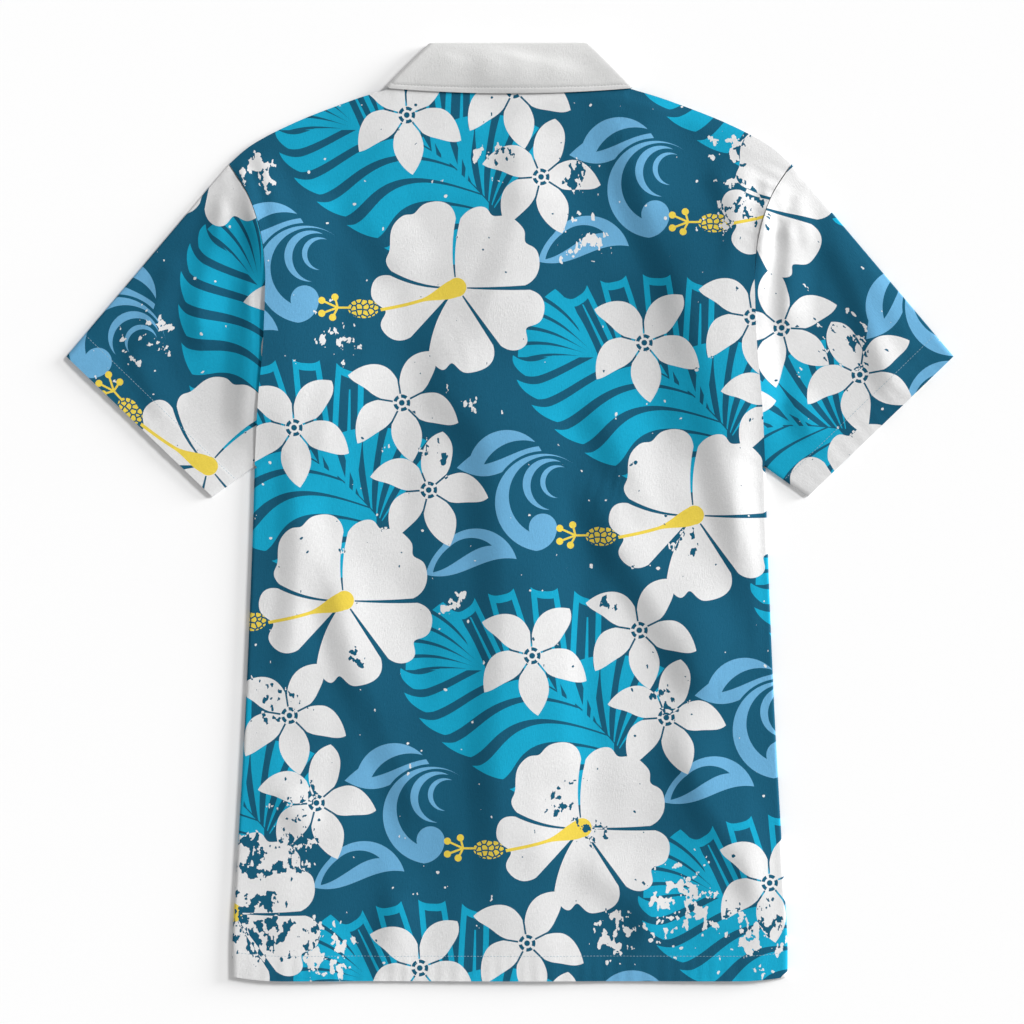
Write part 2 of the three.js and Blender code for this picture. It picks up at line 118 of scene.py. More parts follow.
# Grid steps: the solids' own, each cut into finer ones
FINE_ACROSS = 6
FINE_UP = 7
BELOW_ARM = 16
LOWER_ARMHOLE = 7
UPPER_ARMHOLE = 5
BODY_ROWS = BELOW_ARM + LOWER_ARMHOLE + UPPER_ARMHOLE
ARM_ROW = BELOW_ARM / BODY_ROWS
BACK_NECK = 6
FRONT_NECK = 8
SHOULDER_STEPS = 8
FRONT_TOP = 2
SIDE_TURN = 6

# A crease climbs from its low side, on the left, to a crest on the right and falls away slowly beyond,
# so that its steep side lies away from the light. Its columns are the height of the crest, the half
# width of the climb, the reach of the far side and the points from top to bottom.
Crease = namedtuple("Crease", "height climb reach points")
BACK_CREASES = [
    Crease(3.4, 17, 75, [(-88, 193), (-62, 95), (-31, 51), (-24, 0), (-21, -65), (-21, -129), (-25, -200),
                         (-24, -258), (-21, -323), (-18, -387)]),
    Crease(4.4, 15, 60, [(72, 360), (98, 295), (118, 238), (143, 180), (163, 115), (172, 51), (185, 0),
                         (202, -52), (208, -98)]),
    Crease(4.2, 15, 60, [(53, 38), (79, -26), (111, -78), (143, -129), (175, -181)]),
    Crease(3.0, 13, 45, [(130, -194), (163, -259), (194, -310), (221, -355)]),
    Crease(2.8, 15, 55, [(-179, -26), (-153, -117), (-127, -181), (-101, -246), (-82, -297)]),
    Crease(2.0, 10, 30, [(169, 302), (188, 257), (185, 205)]),
    Crease(1.8, 14, 50, [(-11, 353), (-4, 263), (-37, 160)]),
    Crease(1.8, 14, 40, [(53, -310), (130, -380)]),
    Crease(1.6, 10, 26, [(-210, -246), (-184, -290)]),
    Crease(2.4, 14, 45, [(53, 102), (92, 38), (130, -26)]),
    Crease(2.0, 14, 40, [(-146, 282), (-127, 237), (-98, 192)]),
    Crease(2.2, 12, 30, [(-203, 60), (-196, -40), (-206, -150)]),
    Crease(1.4, 12, 36, [(-150, 150), (-170, 80), (-176, 10)]),
    Crease(1.6, 12, 34, [(-100, -330), (-118, -372), (-126, -405)]),
    Crease(1.5, 16, 42, [(40, -90), (34, -180), (44, -260)]),
    Crease(1.6, 9, 20, [(206, 20), (214, -60), (216, -140)]),
]
SLEEVE_CREASES = {
    -1: [
        Crease(3.6, 11, 36, [(-249, 302), (-268, 240), (-282, 180), (-275, 128)]),
        Crease(2.0, 10, 30, [(-300, 232), (-318, 182), (-330, 138)]),
        Crease(3.3, 10, 26, [(-234, 225), (-241, 150), (-247, 55)]),
        Crease(1.2, 9, 26, [(-345, 175), (-330, 120), (-300, 70)]),
    ],
    1: [
        Crease(3.2, 10, 26, [(240, 295), (237, 230), (233, 147)]),
        Crease(3.0, 11, 34, [(266, 257), (297, 192), (324, 115), (343, 89)]),
        Crease(1.8, 9, 22, [(240, 102), (260, 58)]),
        Crease(1.6, 9, 26, [(300, 225), (335, 165), (356, 120)]),
    ],
}
COLLAR_CREASES = [
    Crease(3.0, 36, 80, [(-24, 416), (-30, 390), (-34, 362)]),
    Crease(1.0, 11, 26, [(-58, 408), (-66, 390), (-84, 372)]),
    Crease(0.8, 11, 24, [(-22, 406), (-30, 388), (-26, 370)]),
    Crease(0.4, 9, 18, [(8, 404), (2, 388), (10, 372)]),
    Crease(0.5, 10, 20, [(36, 408), (30, 392), (36, 372)]),
    Crease(0.6, 9, 18, [(66, 406), (74, 390), (92, 374)]),
]
# Creases that cross the armhole seams, on the back and on the sleeves alike
SHOULDER_CREASES = [
    Crease(2.8, 5, 13, [(-245, 306), (-237, 290), (-230, 262), (-224, 230)]),
    Crease(2.4, 6, 16, [(-251, 294), (-259, 262), (-261, 228)]),
    Crease(1.9, 7, 18, [(-228, 312), (-216, 280), (-208, 246)]),
    Crease(2.4, 5, 11, [(222, 298), (220, 262), (216, 212)]),
    Crease(2.7, 5, 12, [(231, 292), (235, 262), (242, 230)]),
    Crease(2.3, 6, 14, [(244, 284), (251, 258), (261, 226)]),
    Crease(1.8, 7, 18, [(206, 308), (196, 276), (192, 244)]),
]
# The fronts lie under the shirt, so their creases only lift off the surface. The side is 1 on the
# right of the shirt, and the points are those of the right front.
FRONT_CREASES = [
    Crease(1.5, 14, 34, [(70, 150), (84, 20), (72, -120), (88, -260)]),
    Crease(1.7, 12, 34, [(150, 250), (138, 150), (150, 40)]),
    Crease(1.5, 13, 34, [(160, -60), (146, -190), (164, -330)]),
    Crease(1.2, 11, 26, [(120, -290), (104, -400)]),
]
SLEEVE_UNDER_CREASES = [
    Crease(1.0, 10, 24, [(250, 262), (266, 190), (262, 100)]),
    Crease(0.9, 10, 24, [(305, 205), (322, 150), (318, 100)]),
]
# Puckers where the sleeves are gathered into the shoulder: distance from the armhole's top
PUCKER = dict(height=1.0, spacing=11, length=24)

# Print: two steps of its repeat, and the middle of one hibiscus on the back
REPEAT_A = (208.6, -199.8)
REPEAT_B = (-98.6, -274.6)
HIBISCUS_ON_BACK = (-46.6, 196.2)
# Where a hibiscus lies on each sleeve, and how far the print is turned there, anticlockwise
SLEEVE_PRINT = {-1: dict(centre=(-264.9, 39.6), turn=-48), 1: dict(centre=(206.8, 268.4), turn=42)}
HIBISCUS_ON_FRONTS = {-1: (-108, 120), 1: (112, 30)}

# Petals of a hibiscus: direction and half width in degrees, each with its change per mm outwards,
# reach in mm, reach where neighbours part, and notches as share across, depth and width
PETALS = [
    dict(middle=142.5, drift=-0.235, half=41.5, spread=-0.035, reach=79, waist=46,
         notches=[(0.62, 9, 0.22), (-0.12, 4, 0.13)]),
    dict(middle=48.5, drift=-0.07, half=52.5, spread=-0.13, reach=78, waist=48,
         notches=[(0.45, 7, 0.14), (-0.24, 6, 0.12)]),
    dict(middle=206.5, drift=-0.135, half=22.5, spread=0.135, reach=76, waist=44, notches=[(0.02, 10, 0.2)]),
    dict(middle=266, drift=0.135, half=38, spread=-0.135, reach=76, waist=45, notches=[(-0.3, 9, 0.17)]),
    dict(middle=330.5, drift=0.03, half=25.5, spread=0.03, reach=80, waist=48, notches=[(-0.12, 9, 0.2)]),
]
# Middle of each plumeria, from a hibiscus, and how far it is turned
PLUMERIAS = [((-44, 151.4), -15), ((50.2, 173.4), -9), ((73.9, 96.8), 4)]
# Round ends of the pistil's rays, from the point where they meet
RAY_ENDS = [(-13.8, 6.2), (-2.4, 9.2), (-13.8, -5.2), (-4.4, -8.6)]

# Worn patches of the print on the back and the sleeves
Worn = namedtuple("Worn", "x y radius strength")
WORN = [
    Worn(-224, 299, 32, 0.9),
    Worn(62, 292, 30, 0.8),
    Worn(66, 240, 42, 0.62),
    Worn(-14, 309, 30, 0.7),
    Worn(-152, 150, 34, 0.66),
    Worn(202, 268, 44, 0.75),
    Worn(196, 320, 34, 0.7),
    Worn(-48, -82, 22, 0.7),
    Worn(88, -82, 14, 0.7),
    Worn(-222, -362, 52, 0.95),
    Worn(-165, -385, 46, 0.85),
    Worn(-233, -307, 44, 0.92),
    Worn(-192, -302, 40, 0.8),
    Worn(92, -372, 38, 0.8),
    Worn(150, -345, 56, 0.78),
    Worn(215, -372, 48, 0.85),
    Worn(44, -254, 30, 0.74),
    Worn(72, -282, 24, 0.72),
    Worn(140, -165, 28, 0.74),
    Worn(-206, -170, 40, 0.62),
    Worn(-184, -259, 34, 0.7),
    Worn(158, -30, 26, 0.62),
    Worn(-136, -131, 20, 0.74),
    Worn(-66, 52, 24, 0.76),
    Worn(-33, 94, 14, 0.82),
    Worn(-320, 150, 46, 0.6),
    Worn(300, 150, 50, 0.62),
]

# Colours as the eye sees them, 0 to 255
WHITE = (225, 225, 225)
NAVY = (23, 88, 115)
CYAN = (22, 162, 198)
PALE_BLUE = (106, 170, 210)
YELLOW = (232, 206, 80)
COLLAR = (218, 218, 217)
# the collar's white thread, painted grey for the shade in and beside its stitches' dimples
THREAD_WITH_PAINTED_SHADE = (196, 197, 197)
PRINT_THREAD = (150, 176, 188)
SHELL = (226, 222, 210)
COOL_SHELL = (206, 214, 216)
FLOOR = (254, 254, 254)


# Shapes


def smoothstep(value, start, end):
    share = np.clip((value - start) / (end - start), 0, 1)
    return share * share * (3 - 2 * share)


def fade(value, start, end):
    return 1 - smoothstep(value, start, end)


def blend(a, b, share):
    return a + (b - a) * share


def line(points, samples=400):
    """A smooth line through the points, walked by its length from 0 to 1."""
    given = np.array(points, float)
    ends = [2 * given[0] - given[1], 2 * given[-1] - given[-2]]
    knots = np.vstack([ends[0], given, ends[1]])
    pieces = []
    for k in range(1, len(knots) - 2):
        p0, p1, p2, p3 = knots[k - 1 : k + 3]
        d0, d1, d2 = (max(np.linalg.norm(q - p) ** 0.5, 1e-6) for p, q in ((p0, p1), (p1, p2), (p2, p3)))
        t1 = ((p1 - p0) / d0 - (p2 - p0) / (d0 + d1) + (p2 - p1) / d1) * d1
        t2 = ((p2 - p1) / d1 - (p3 - p1) / (d1 + d2) + (p3 - p2) / d2) * d1
        t = np.linspace(0, 1, samples, endpoint=k == len(knots) - 3)[:, None]
        curve = p1 + t1 * t + (3 * (p2 - p1) - 2 * t1 - t2) * t**2 + (2 * (p1 - p2) + t1 + t2) * t**3
        pieces.append(curve)
    dense = np.vstack(pieces)
    return walked(dense)


def walked(dense):
    """The dense points as a line walked by its length from 0 to 1."""
    lengths = np.concatenate([[0], np.cumsum(np.linalg.norm(np.diff(dense, axis=0), axis=1))])
    share = lengths / lengths[-1]
    columns = dense.T
    return lambda t: np.stack([np.interp(t, share, column) for column in columns], axis=-1)


def straight(start, end):
    a, b = np.array(start, float), np.array(end, float)
    return lambda t: a + (b - a) * np.asarray(t)[..., None]


def shifted(curve, dx):
    return lambda t: curve(t) + np.array([dx, 0])


def backwards(curve):
    return lambda t: curve(1 - np.asarray(t))


def chain(*parts):
    """Lines end to end, each with its own number of steps, as one line walked from 0 to 1."""
    steps = sum(count for _, count in parts)

    def along(t):
        left = np.atleast_1d(np.asarray(t, float)) * steps
        found = np.zeros((len(left), 2))
        start = 0
        for place, (curve, count) in enumerate(parts):
            last = place == len(parts) - 1
            inside = (left >= start - 1e-9) & ((left <= start + count + 1e-9) | last)
            if place:
                inside &= left > start + 1e-9
            found[inside] = curve(np.clip((left[inside] - start) / count, 0, 1))
            start += count
        return found

    return along


def patch(bottom, top, start, end, u, v):
    """Points of a surface between four lines: an array over v by u."""
    low, high, first, last = bottom(u), top(u), start(v), end(v)
    u, v = u[None, :, None], v[:, None, None]
    across = low[None] * (1 - v) + high[None] * v
    along = first[:, None] * (1 - u) + last[:, None] * u
    flat_low = low[0] * (1 - u) + low[-1] * u
    flat_high = high[0] * (1 - u) + high[-1] * u
    return across + along - flat_low * (1 - v) - flat_high * v


def bezier(a, b, c):
    a, b, c = (np.array(p, float) for p in (a, b, c))
    return lambda t: (1 - t) ** 2 * a + 2 * (1 - t) * t * b + t**2 * c


# Levels, as in the solids


def hem_y(x):
    corner = np.maximum(0, np.abs(x) - (HEM_HALF_SPAN - HEM_LIFT_WIDTH)) / HEM_LIFT_WIDTH
    return -HALF_LENGTH + HEM_LIFT * corner**2


def hem_between(start, end):
    """The hem from one distance from the centre to another, as a line walked from 0 to 1."""

    def along(t):
        x = blend(start, end, t)
        return np.stack([x, hem_y(x)], axis=-1)

    return along


def folded_hem(inside, width=HEM_WIDTH):
    """1 where the hem is folded double and 0 further in."""
    return fade(inside, width - 1.2, width + 0.4)


def ridge_rise(x, y):
    last_y = BUTTON_FIRST_Y - (BUTTON_COUNT - 1) * BUTTON_SPACING
    return RIDGE * fade(np.abs(x), RIDGE_FLAT, RIDGE_END) * smoothstep(y, last_y - 85, last_y - 15)


def neck_rise(x, y):
    edge = 72 + 0.32 * np.maximum(0, y - COLLAR_POINT[1])
    wide = 1 - smoothstep(np.abs(x) - edge, 8, 56)
    return NECK_RISE * wide * smoothstep(y, COLLAR_POINT[1] - 58, COLLAR_POINT[1] - 10)


def front_level(x, y):
    ridge = ridge_rise(x, y)
    return ridge + neck_rise(x, y) * (1 - ridge / RIDGE)


def back_level(x, y):
    side = np.abs(x)
    over_closure = fade(y, FRONT_TOP_Y + 5, FRONT_TOP_Y + 35)
    ridge = ridge_rise(x, y) * over_closure
    overlap = CLOSURE_RISE * fade(side, RIDGE_FLAT, RIDGE_END) * over_closure
    neck = neck_rise(x, y) * (1 - ridge / RIDGE)
    loft = (SIDE_LEVEL - WALL - AIR) * smoothstep(side, 120, 180) * fade(y, 224, 290)
    return WALL + AIR + ridge + overlap + neck + loft


def arm_rise(x, y):
    """How far the armhole's edge stands up: gently over the body, and steeply down to the sleeve."""
    outside = np.abs(x) - side_over_sleeve_x(y)
    rise = np.where(outside < 0, np.exp(-((outside / 58) ** 2)), fade(outside, 0, 23))
    return ARM_RISE * rise * smoothstep(y, 36, 110) * fade(y, 245, 302)


def soft_limit(height):
    return HIGHEST_FOLD * np.tanh(height / HIGHEST_FOLD)


def arm_fold(x, y):
    """The part of that rise that is the sleeve's too. The body's side stands over it lower down."""
    return arm_rise(x, y) * blend(1, 0.56, fade(y, 165, 240))


def crease_height(creases, x, y, mirror=1, scale=1.0):
    """Height of a list of creases at the places x, y."""
    total = np.zeros_like(x)
    for crease in creases:
        points = np.array(crease.points, float) * [mirror, 1]
        share = np.linspace(0, 1, 70)
        curve = line(points, 60)(share)
        tangent = np.gradient(curve, axis=0)
        tangent /= np.linalg.norm(tangent, axis=1)[:, None]
        away = np.hypot(x[..., None] - curve[:, 0], y[..., None] - curve[:, 1])
        near = away.argmin(axis=-1)
        dx, dy = x - curve[near, 0], y - curve[near, 1]
        beside = tangent[near, 0] * dy - tangent[near, 1] * dx
        beyond = np.abs(tangent[near, 0] * dx + tangent[near, 1] * dy)
        climb, reach = crease.climb, crease.reach
        profile = smoothstep(beside, -climb, climb) * fade(beside, climb * 0.7, climb + reach)
        ends = smoothstep(share[near], 0, 0.22) * fade(share[near], 0.78, 1)
        ends = blend(0.16, 1, ends) * np.exp(-((beyond / (1.2 * climb)) ** 2))
        total += scale * crease.height * profile * ends
    return total


def ripple(x, y, seed):
    """Slight unevenness of lying cloth, from 0 to about 1, with no direction of its own."""
    draw = np.random.default_rng(seed)
    total = np.zeros_like(x)
    for size in (210, 150, 105, 74, 52, 38, 30):
        for _ in range(3):
            angle, phase = draw.uniform(0, math.tau, 2)
            bend = 0.6 * np.sin((x * math.sin(angle) - y * math.cos(angle)) * math.tau / (2.3 * size) + phase)
            wave = np.sin((x * math.cos(angle) + y * math.sin(angle)) * math.tau / size + phase + bend)
            total += (size / 210) ** 0.75 * wave
    return 0.5 + total / 11


def hem_wave(along, inside):
    """The small pull of the stitches beside a hem."""
    return HEM_PULL * (1 + np.sin(along / 1.9 + 1.5 * np.sin(along / 13))) * fade(inside, 6, 36)


# Meshes


def shell(name, outer, inner, attributes, material):
    """A closed shell over grids of outer and inner points, in mm, with missing ones as NaN.

    Seen from outside, columns run to the right and rows run upwards.
    """
    present = ~np.isnan(outer[..., 0])
    index = np.full(present.shape, -1)
    index[present] = np.arange(present.sum())
    count = present.sum()
    points = np.vstack([outer[present], inner[present]]) * MM
    a, b, d, c = index[:-1, :-1], index[:-1, 1:], index[1:, :-1], index[1:, 1:]
    whole = (a >= 0) & (b >= 0) & (c >= 0) & (d >= 0)
    faces = [np.stack([a, b, c, d], -1)[whole], np.stack([a, d, c, b], -1)[whole] + count]
    padded = np.pad(whole, 1)
    sides = [
        (a, b, ~padded[:-2, 1:-1]),
        (b, c, ~padded[1:-1, 2:]),
        (c, d, ~padded[2:, 1:-1]),
        (d, a, ~padded[1:-1, :-2]),
    ]
    for start, end, open_side in sides:
        rim = whole & open_side
        first, last = start[rim], end[rim]
        faces.append(np.stack([first + count, last + count, last, first], -1))
    faces = np.vstack(faces)
    values = {}
    for key, grid in attributes.items():
        flat = grid[present]
        values[key] = np.vstack([flat, flat]) if flat.ndim == 2 else np.concatenate([flat, flat])
    inside = np.zeros((2 * count, 1))
    inside[count:] = 1
    if "cloth" in values:
        values["cloth"] = np.hstack([values["cloth"], inside])
    return mesh_object(name, points, faces, values, material)


def placed(name, data):
    """A new object in the scene."""
    made = bpy.data.objects.new(name, data)
    bpy.context.scene.collection.objects.link(made)
    return made


def plain_mesh(name, points, faces, material):
    """A mesh of points in metres."""
    mesh = bpy.data.meshes.new(name)
    mesh.from_pydata(points, [], faces)
    mesh.materials.append(material)
    return mesh


def mesh_object(name, points, faces, values, material):
    """An object of four-sided faces, with a value for each point and attribute."""
    mesh = bpy.data.meshes.new(name)
    mesh.vertices.add(len(points))
    mesh.vertices.foreach_set("co", np.asarray(points, np.float32).ravel())
    mesh.loops.add(faces.size)
    mesh.loops.foreach_set("vertex_index", faces.astype(np.int32).ravel())
    mesh.polygons.add(len(faces))
    mesh.polygons.foreach_set("loop_start", np.arange(0, faces.size, 4, dtype=np.int32))
    mesh.update(calc_edges=True)
    for key, grid in values.items():
        kind = "FLOAT_VECTOR" if grid.ndim == 2 else "FLOAT"
        field = "vector" if grid.ndim == 2 else "value"
        attribute = mesh.attributes.new(key, kind, "POINT")
        attribute.data.foreach_set(field, np.asarray(grid, np.float32).ravel())
    mesh.materials.append(material)
    mesh.validate()
    mesh.shade_smooth()
    mesh.set_sharp_from_angle(angle=math.radians(50))
    made = placed(name, mesh)
    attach(made, "root")
    return made


def area_of(grid):
    """Area in square metres of a grid of points in mm, leaving out its missing ones."""
    deep = grid if grid.shape[2] == 3 else np.dstack([grid, 0 * grid[..., 0]])
    across, back = deep[1:, 1:] - deep[:-1, :-1], deep[1:, :-1] - deep[:-1, 1:]
    return float(np.nansum(np.linalg.norm(np.cross(across, back), axis=-1)) / 2 * MM * MM)


def worn_at(x, y):
    total = np.zeros_like(x)
    for spot in WORN:
        away = np.hypot(x - spot.x, y - spot.y)
        total = np.maximum(total, spot.strength * fade(away, 0.25 * spot.radius, spot.radius))
    return total


def steps(count, fine):
    return np.linspace(0, 1, count * fine + 1)


def join(*grids):
    return np.concatenate(grids, axis=1)


# Collar


def collar_station(roll_point, edge_point, outward, stand_share):
    roll_point = np.array([*roll_point, NECK_MIDDLE], float)
    edge_point = np.array([*edge_point, NECK_MIDDLE], float)
    along = edge_point - roll_point
    width = np.linalg.norm(along)
    return dict(roll=roll_point, along=along / width, out=np.array(outward, float), width=width,
                stand=width * stand_share)


def back_station(share):
    edge = (FALL_SIDE[0] * share, blend(FALL_BACK_Y, FALL_SIDE[1], share**2))
    return collar_station((ROLL_HALF_WIDTH * share, ROLL_Y), edge, (0, 0, 1), STAND_SHARE_BACK)


def side_station(angle):
    slant = np.array(FALL_SIDE, float) - (ROLL_HALF_WIDTH, ROLL_Y)
    slant /= np.linalg.norm(slant)
    outward = (-slant[1] * math.sin(angle), slant[0] * math.sin(angle), math.cos(angle))
    eased = CORNER_EASE * math.sin(angle)
    roll_point = np.array([ROLL_HALF_WIDTH, ROLL_Y]) + slant * eased
    made = collar_station(roll_point, FALL_SIDE, outward, STAND_SHARE_BACK)
    made["stand"] -= eased * (1 - STAND_SHARE_BACK)
    return made


def front_station(share):
    roll = bezier((ROLL_HALF_WIDTH, ROLL_Y), ROLL_BOW, FRONT_END)(share)
    edge = bezier(FALL_SIDE, FALL_BOW, COLLAR_POINT)(share)
    return collar_station(roll, edge, (0, 0, -1), blend(STAND_SHARE_BACK, STAND_SHARE_FRONT_END, share))


def collar_stations(fine):
    """Stations from the right front end, round the right side, across the back to the left front end."""
    right = [front_station(k / (FRONT_NECK * fine)) for k in range(FRONT_NECK * fine, 0, -1)]
    right += [side_station(math.pi * (1 - k / (SIDE_TURN * fine))) for k in range(SIDE_TURN * fine)]
    right += [back_station(k / (BACK_NECK * fine)) for k in range(BACK_NECK * fine, 0, -1)]
    left = [{**s, **{key: s[key] * MIRROR for key in ("roll", "along", "out")}} for s in reversed(right)]
    return right + [back_station(0)] + left


def on_station(station, distance, depth):
    return station["roll"] + station["along"] * distance + station["out"] * depth


def neck_edge(make):
    """Where the stand meets the body, as a line over make's own share."""

    def along(t):
        stations = [make(float(share)) for share in np.atleast_1d(t)]
        return np.array([on_station(s, s["stand"] + SEAM, 0)[:2] for s in stations])

    return along


front_neckline = neck_edge(lambda t: front_station(1 - t))
back_neckline = neck_edge(back_station)


def under_fall(t):
    neck = back_neckline(1.0)[0]
    return straight(neck, SHOULDER[0])(t)


# Body

side_seam = line(SIDE_SEAM)
upper_armhole = line(ARMHOLE_UPPER)
lower_armhole = line(ARMHOLE_LOWER)


def back_piece(material):
    u = steps(2 * (BACK_NECK + 1 + SHOULDER_STEPS), FINE_ACROSS)
    v = steps(BODY_ROWS, FINE_UP)
    right = chain((shifted(line(SIDE_BELOW_ARM), -FOLD_RADIUS), BELOW_ARM),
                  (line(SIDE_OVER_SLEEVE), LOWER_ARMHOLE), (shifted(upper_armhole, -SEAM / 2), UPPER_ARMHOLE))
    left = lambda t: right(t) * [-1, 1]
    corner_x = right(0)[0, 0]
    half_top = chain((back_neckline, BACK_NECK), (under_fall, 1), (line(SHOULDER), SHOULDER_STEPS))

    def top(t):
        return half_top(np.abs(2 * t - 1)) * np.stack([np.sign(t - 0.5), np.ones_like(t)], axis=-1)

    place = patch(hem_between(-corner_x, corner_x), top, left, right, u, v)
    x, y = place[..., 0], place[..., 1]
    turned = v <= ARM_ROW + 1e-9
    level = back_level(x, y)
    edge = np.minimum(np.arange(len(u)), np.arange(len(u))[::-1])[None, :] / (2.0 * FINE_ACROSS)
    held = smoothstep(edge, 0, 1)
    level[turned] = blend(SIDE_LEVEL, level, held)[turned]
    lifted = crease_height(BACK_CREASES, x, y, scale=BACK_CREASE_SCALE) + BACK_RIPPLE * ripple(x, y, 7)
    lifted += crease_height(FRONT_CREASES, x, y) + crease_height(FRONT_CREASES, x, y, -1)
    below_top = smoothstep((1 - v) * TOP_TO_HEM, 0, 16)[:, None]
    lifted += hem_wave(x, y - hem_y(x))
    lifted *= held * below_top
    gathered = pucker_height(x, y) + crease_height(SHOULDER_CREASES, x, y)
    z = level + soft_limit(lifted + gathered * below_top + arm_rise(x, y)) + WALL
    z[-1] -= (AIR - SEAM) * smoothstep(np.abs(x[-1]), 112, 140)
    thicker = HEM_THICKER * folded_hem(y - hem_y(x))
    top_face = np.dstack([x, y, z + thicker])
    low = z - THIN - thicker
    # the rolled edge of the armhole reaches down to the sleeve
    low[:, [0, -1]] -= (arm_rise(x, y) - arm_fold(x, y))[:, [0, -1]]
    bottom_face = np.dstack([x, y, low])

    fold_outer, fold_inner, fold_cloth = turned_under(right(v), turned, v)
    outer = join((fold_outer * MIRROR)[:, ::-1], top_face, fold_outer)
    inner = join((fold_inner * MIRROR)[:, ::-1], bottom_face, fold_inner)
    cloth = join((fold_cloth * [-1, 1])[:, ::-1], place, fold_cloth)
    worn = worn_at(cloth[..., 0], cloth[..., 1])
    made = shell("back_cloth", outer, inner, {"cloth": cloth, "worn": worn}, material)
    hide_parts("back")
    return made, area_of(cloth)


def pucker_height(x, y):
    """Small gathers across the armhole seams near the shoulders."""
    total = np.zeros_like(x)
    top = np.array(ARMHOLE_UPPER[-1], float)
    for side in (-1, 1):
        dx, dy = x * side - top[0], y - top[1]
        along = -(dx * 0.42 + dy * 0.91)
        across = dx * 0.91 - dy * 0.42
        near = np.exp(-((across / PUCKER["length"]) ** 2)) * smoothstep(along, -6, 12) * fade(along, 40, 110)
        total += PUCKER["height"] * near * (0.5 + 0.5 * np.sin(along * math.tau / PUCKER["spacing"]))
    return total


def turned_under(edge, turned, v):
    """The back's right side below the sleeve, where it turns under and runs to the side seam."""
    fold_steps, lap_steps = 10, 10
    angle = math.pi * (0.5 - np.arange(1, fold_steps + 1) / fold_steps)
    count = fold_steps + lap_steps
    outer = np.full((len(v), count, 3), np.nan)
    inner = outer.copy()
    cloth = np.full((len(v), count, 2), np.nan)
    rows = np.where(turned)[0]
    seam = side_seam(np.clip(v[rows] / ARM_ROW, 0, 1))
    for row, end in zip(rows, seam):
        x, y = edge[row]
        for radius, target in ((FOLD_RADIUS, outer), (FOLD_RADIUS - THIN, inner)):
            target[row, :fold_steps, 0] = x + radius * np.cos(angle)
            target[row, :fold_steps, 1] = y
            target[row, :fold_steps, 2] = FOLD_RADIUS + radius * np.sin(angle)
        share = (np.arange(1, lap_steps + 1) / lap_steps)[:, None]
        flat = blend(np.array([x, y]), end, share)
        outer[row, fold_steps:] = np.hstack([flat, np.zeros((lap_steps, 1))])
        inner[row, fold_steps:] = np.hstack([flat, np.full((lap_steps, 1), THIN)])
        cloth[row, :fold_steps, 0] = x + FOLD_RADIUS * (math.pi / 2 - angle)
        cloth[row, :fold_steps, 1] = y
        run = np.linalg.norm(flat - (x, y), axis=1)
        cloth[row, fold_steps:, 0] = x + math.pi * FOLD_RADIUS + run
        cloth[row, fold_steps:, 1] = flat[:, 1]
    return outer, inner, cloth


def front_piece(side, material):
    """The right front, or the left one as its mirror image. The left one lies lowest."""
    u = steps(FRONT_TOP + FRONT_NECK + 1 + SHOULDER_STEPS - 2, 5)
    v = steps(BODY_ROWS, 6)
    sides = chain((shifted(side_seam, -SEAM), BELOW_ARM), (shifted(lower_armhole, -SEAM / 2), LOWER_ARMHOLE),
                  (shifted(upper_armhole, -SEAM / 2), UPPER_ARMHOLE))
    closure = straight((-OVERLAP, -HALF_LENGTH), (-OVERLAP, FRONT_TOP_Y))
    top = chain((straight((-OVERLAP, FRONT_TOP_Y), front_neckline(0.0)[0]), FRONT_TOP),
                (front_neckline, FRONT_NECK), (under_fall, 1), (line(SHOULDER), SHOULDER_STEPS - 2))
    place = patch(hem_between(-OVERLAP, sides(0)[0, 0]), top, closure, sides, u, v)
    x, y = place[..., 0], place[..., 1]
    over = CLOSURE_RISE * fade(x, RIDGE_FLAT, RIDGE_END) * (side > 0)
    free = smoothstep(u, 0.06, 0.2) * fade(u, 0.86, 0.97)
    free = free[None] * (smoothstep(v, 0.0, 0.03) * fade(v, 0.86, 0.97))[:, None]
    low = front_level(x, y) + over + crease_height(FRONT_CREASES, x, y) * free
    facing = fade(x + OVERLAP, FACING_WIDTH - 1, FACING_WIDTH + 1)
    thick = THIN + HEM_THICKER * np.maximum(folded_hem(y - hem_y(x)), facing)
    outer = np.dstack([x, y, low])
    inner = np.dstack([x, y, low + thick])
    middle = np.array(HIBISCUS_ON_FRONTS[side])
    if side < 0:
        outer, inner = outer * MIRROR, inner * MIRROR
        x = -x
    else:
        outer, inner, x, y = outer[:, ::-1], inner[:, ::-1], x[:, ::-1], y[:, ::-1]
    cloth = np.dstack([-(x - middle[0]), y - middle[1]]) + HIBISCUS_ON_BACK
    name = "front_right" if side > 0 else "front_left"
    worn = np.full_like(x, 0.1)
    made = shell(name + "_cloth", outer, inner, {"cloth": cloth, "worn": worn}, material)
    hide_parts(name)
    return made, area_of(cloth)


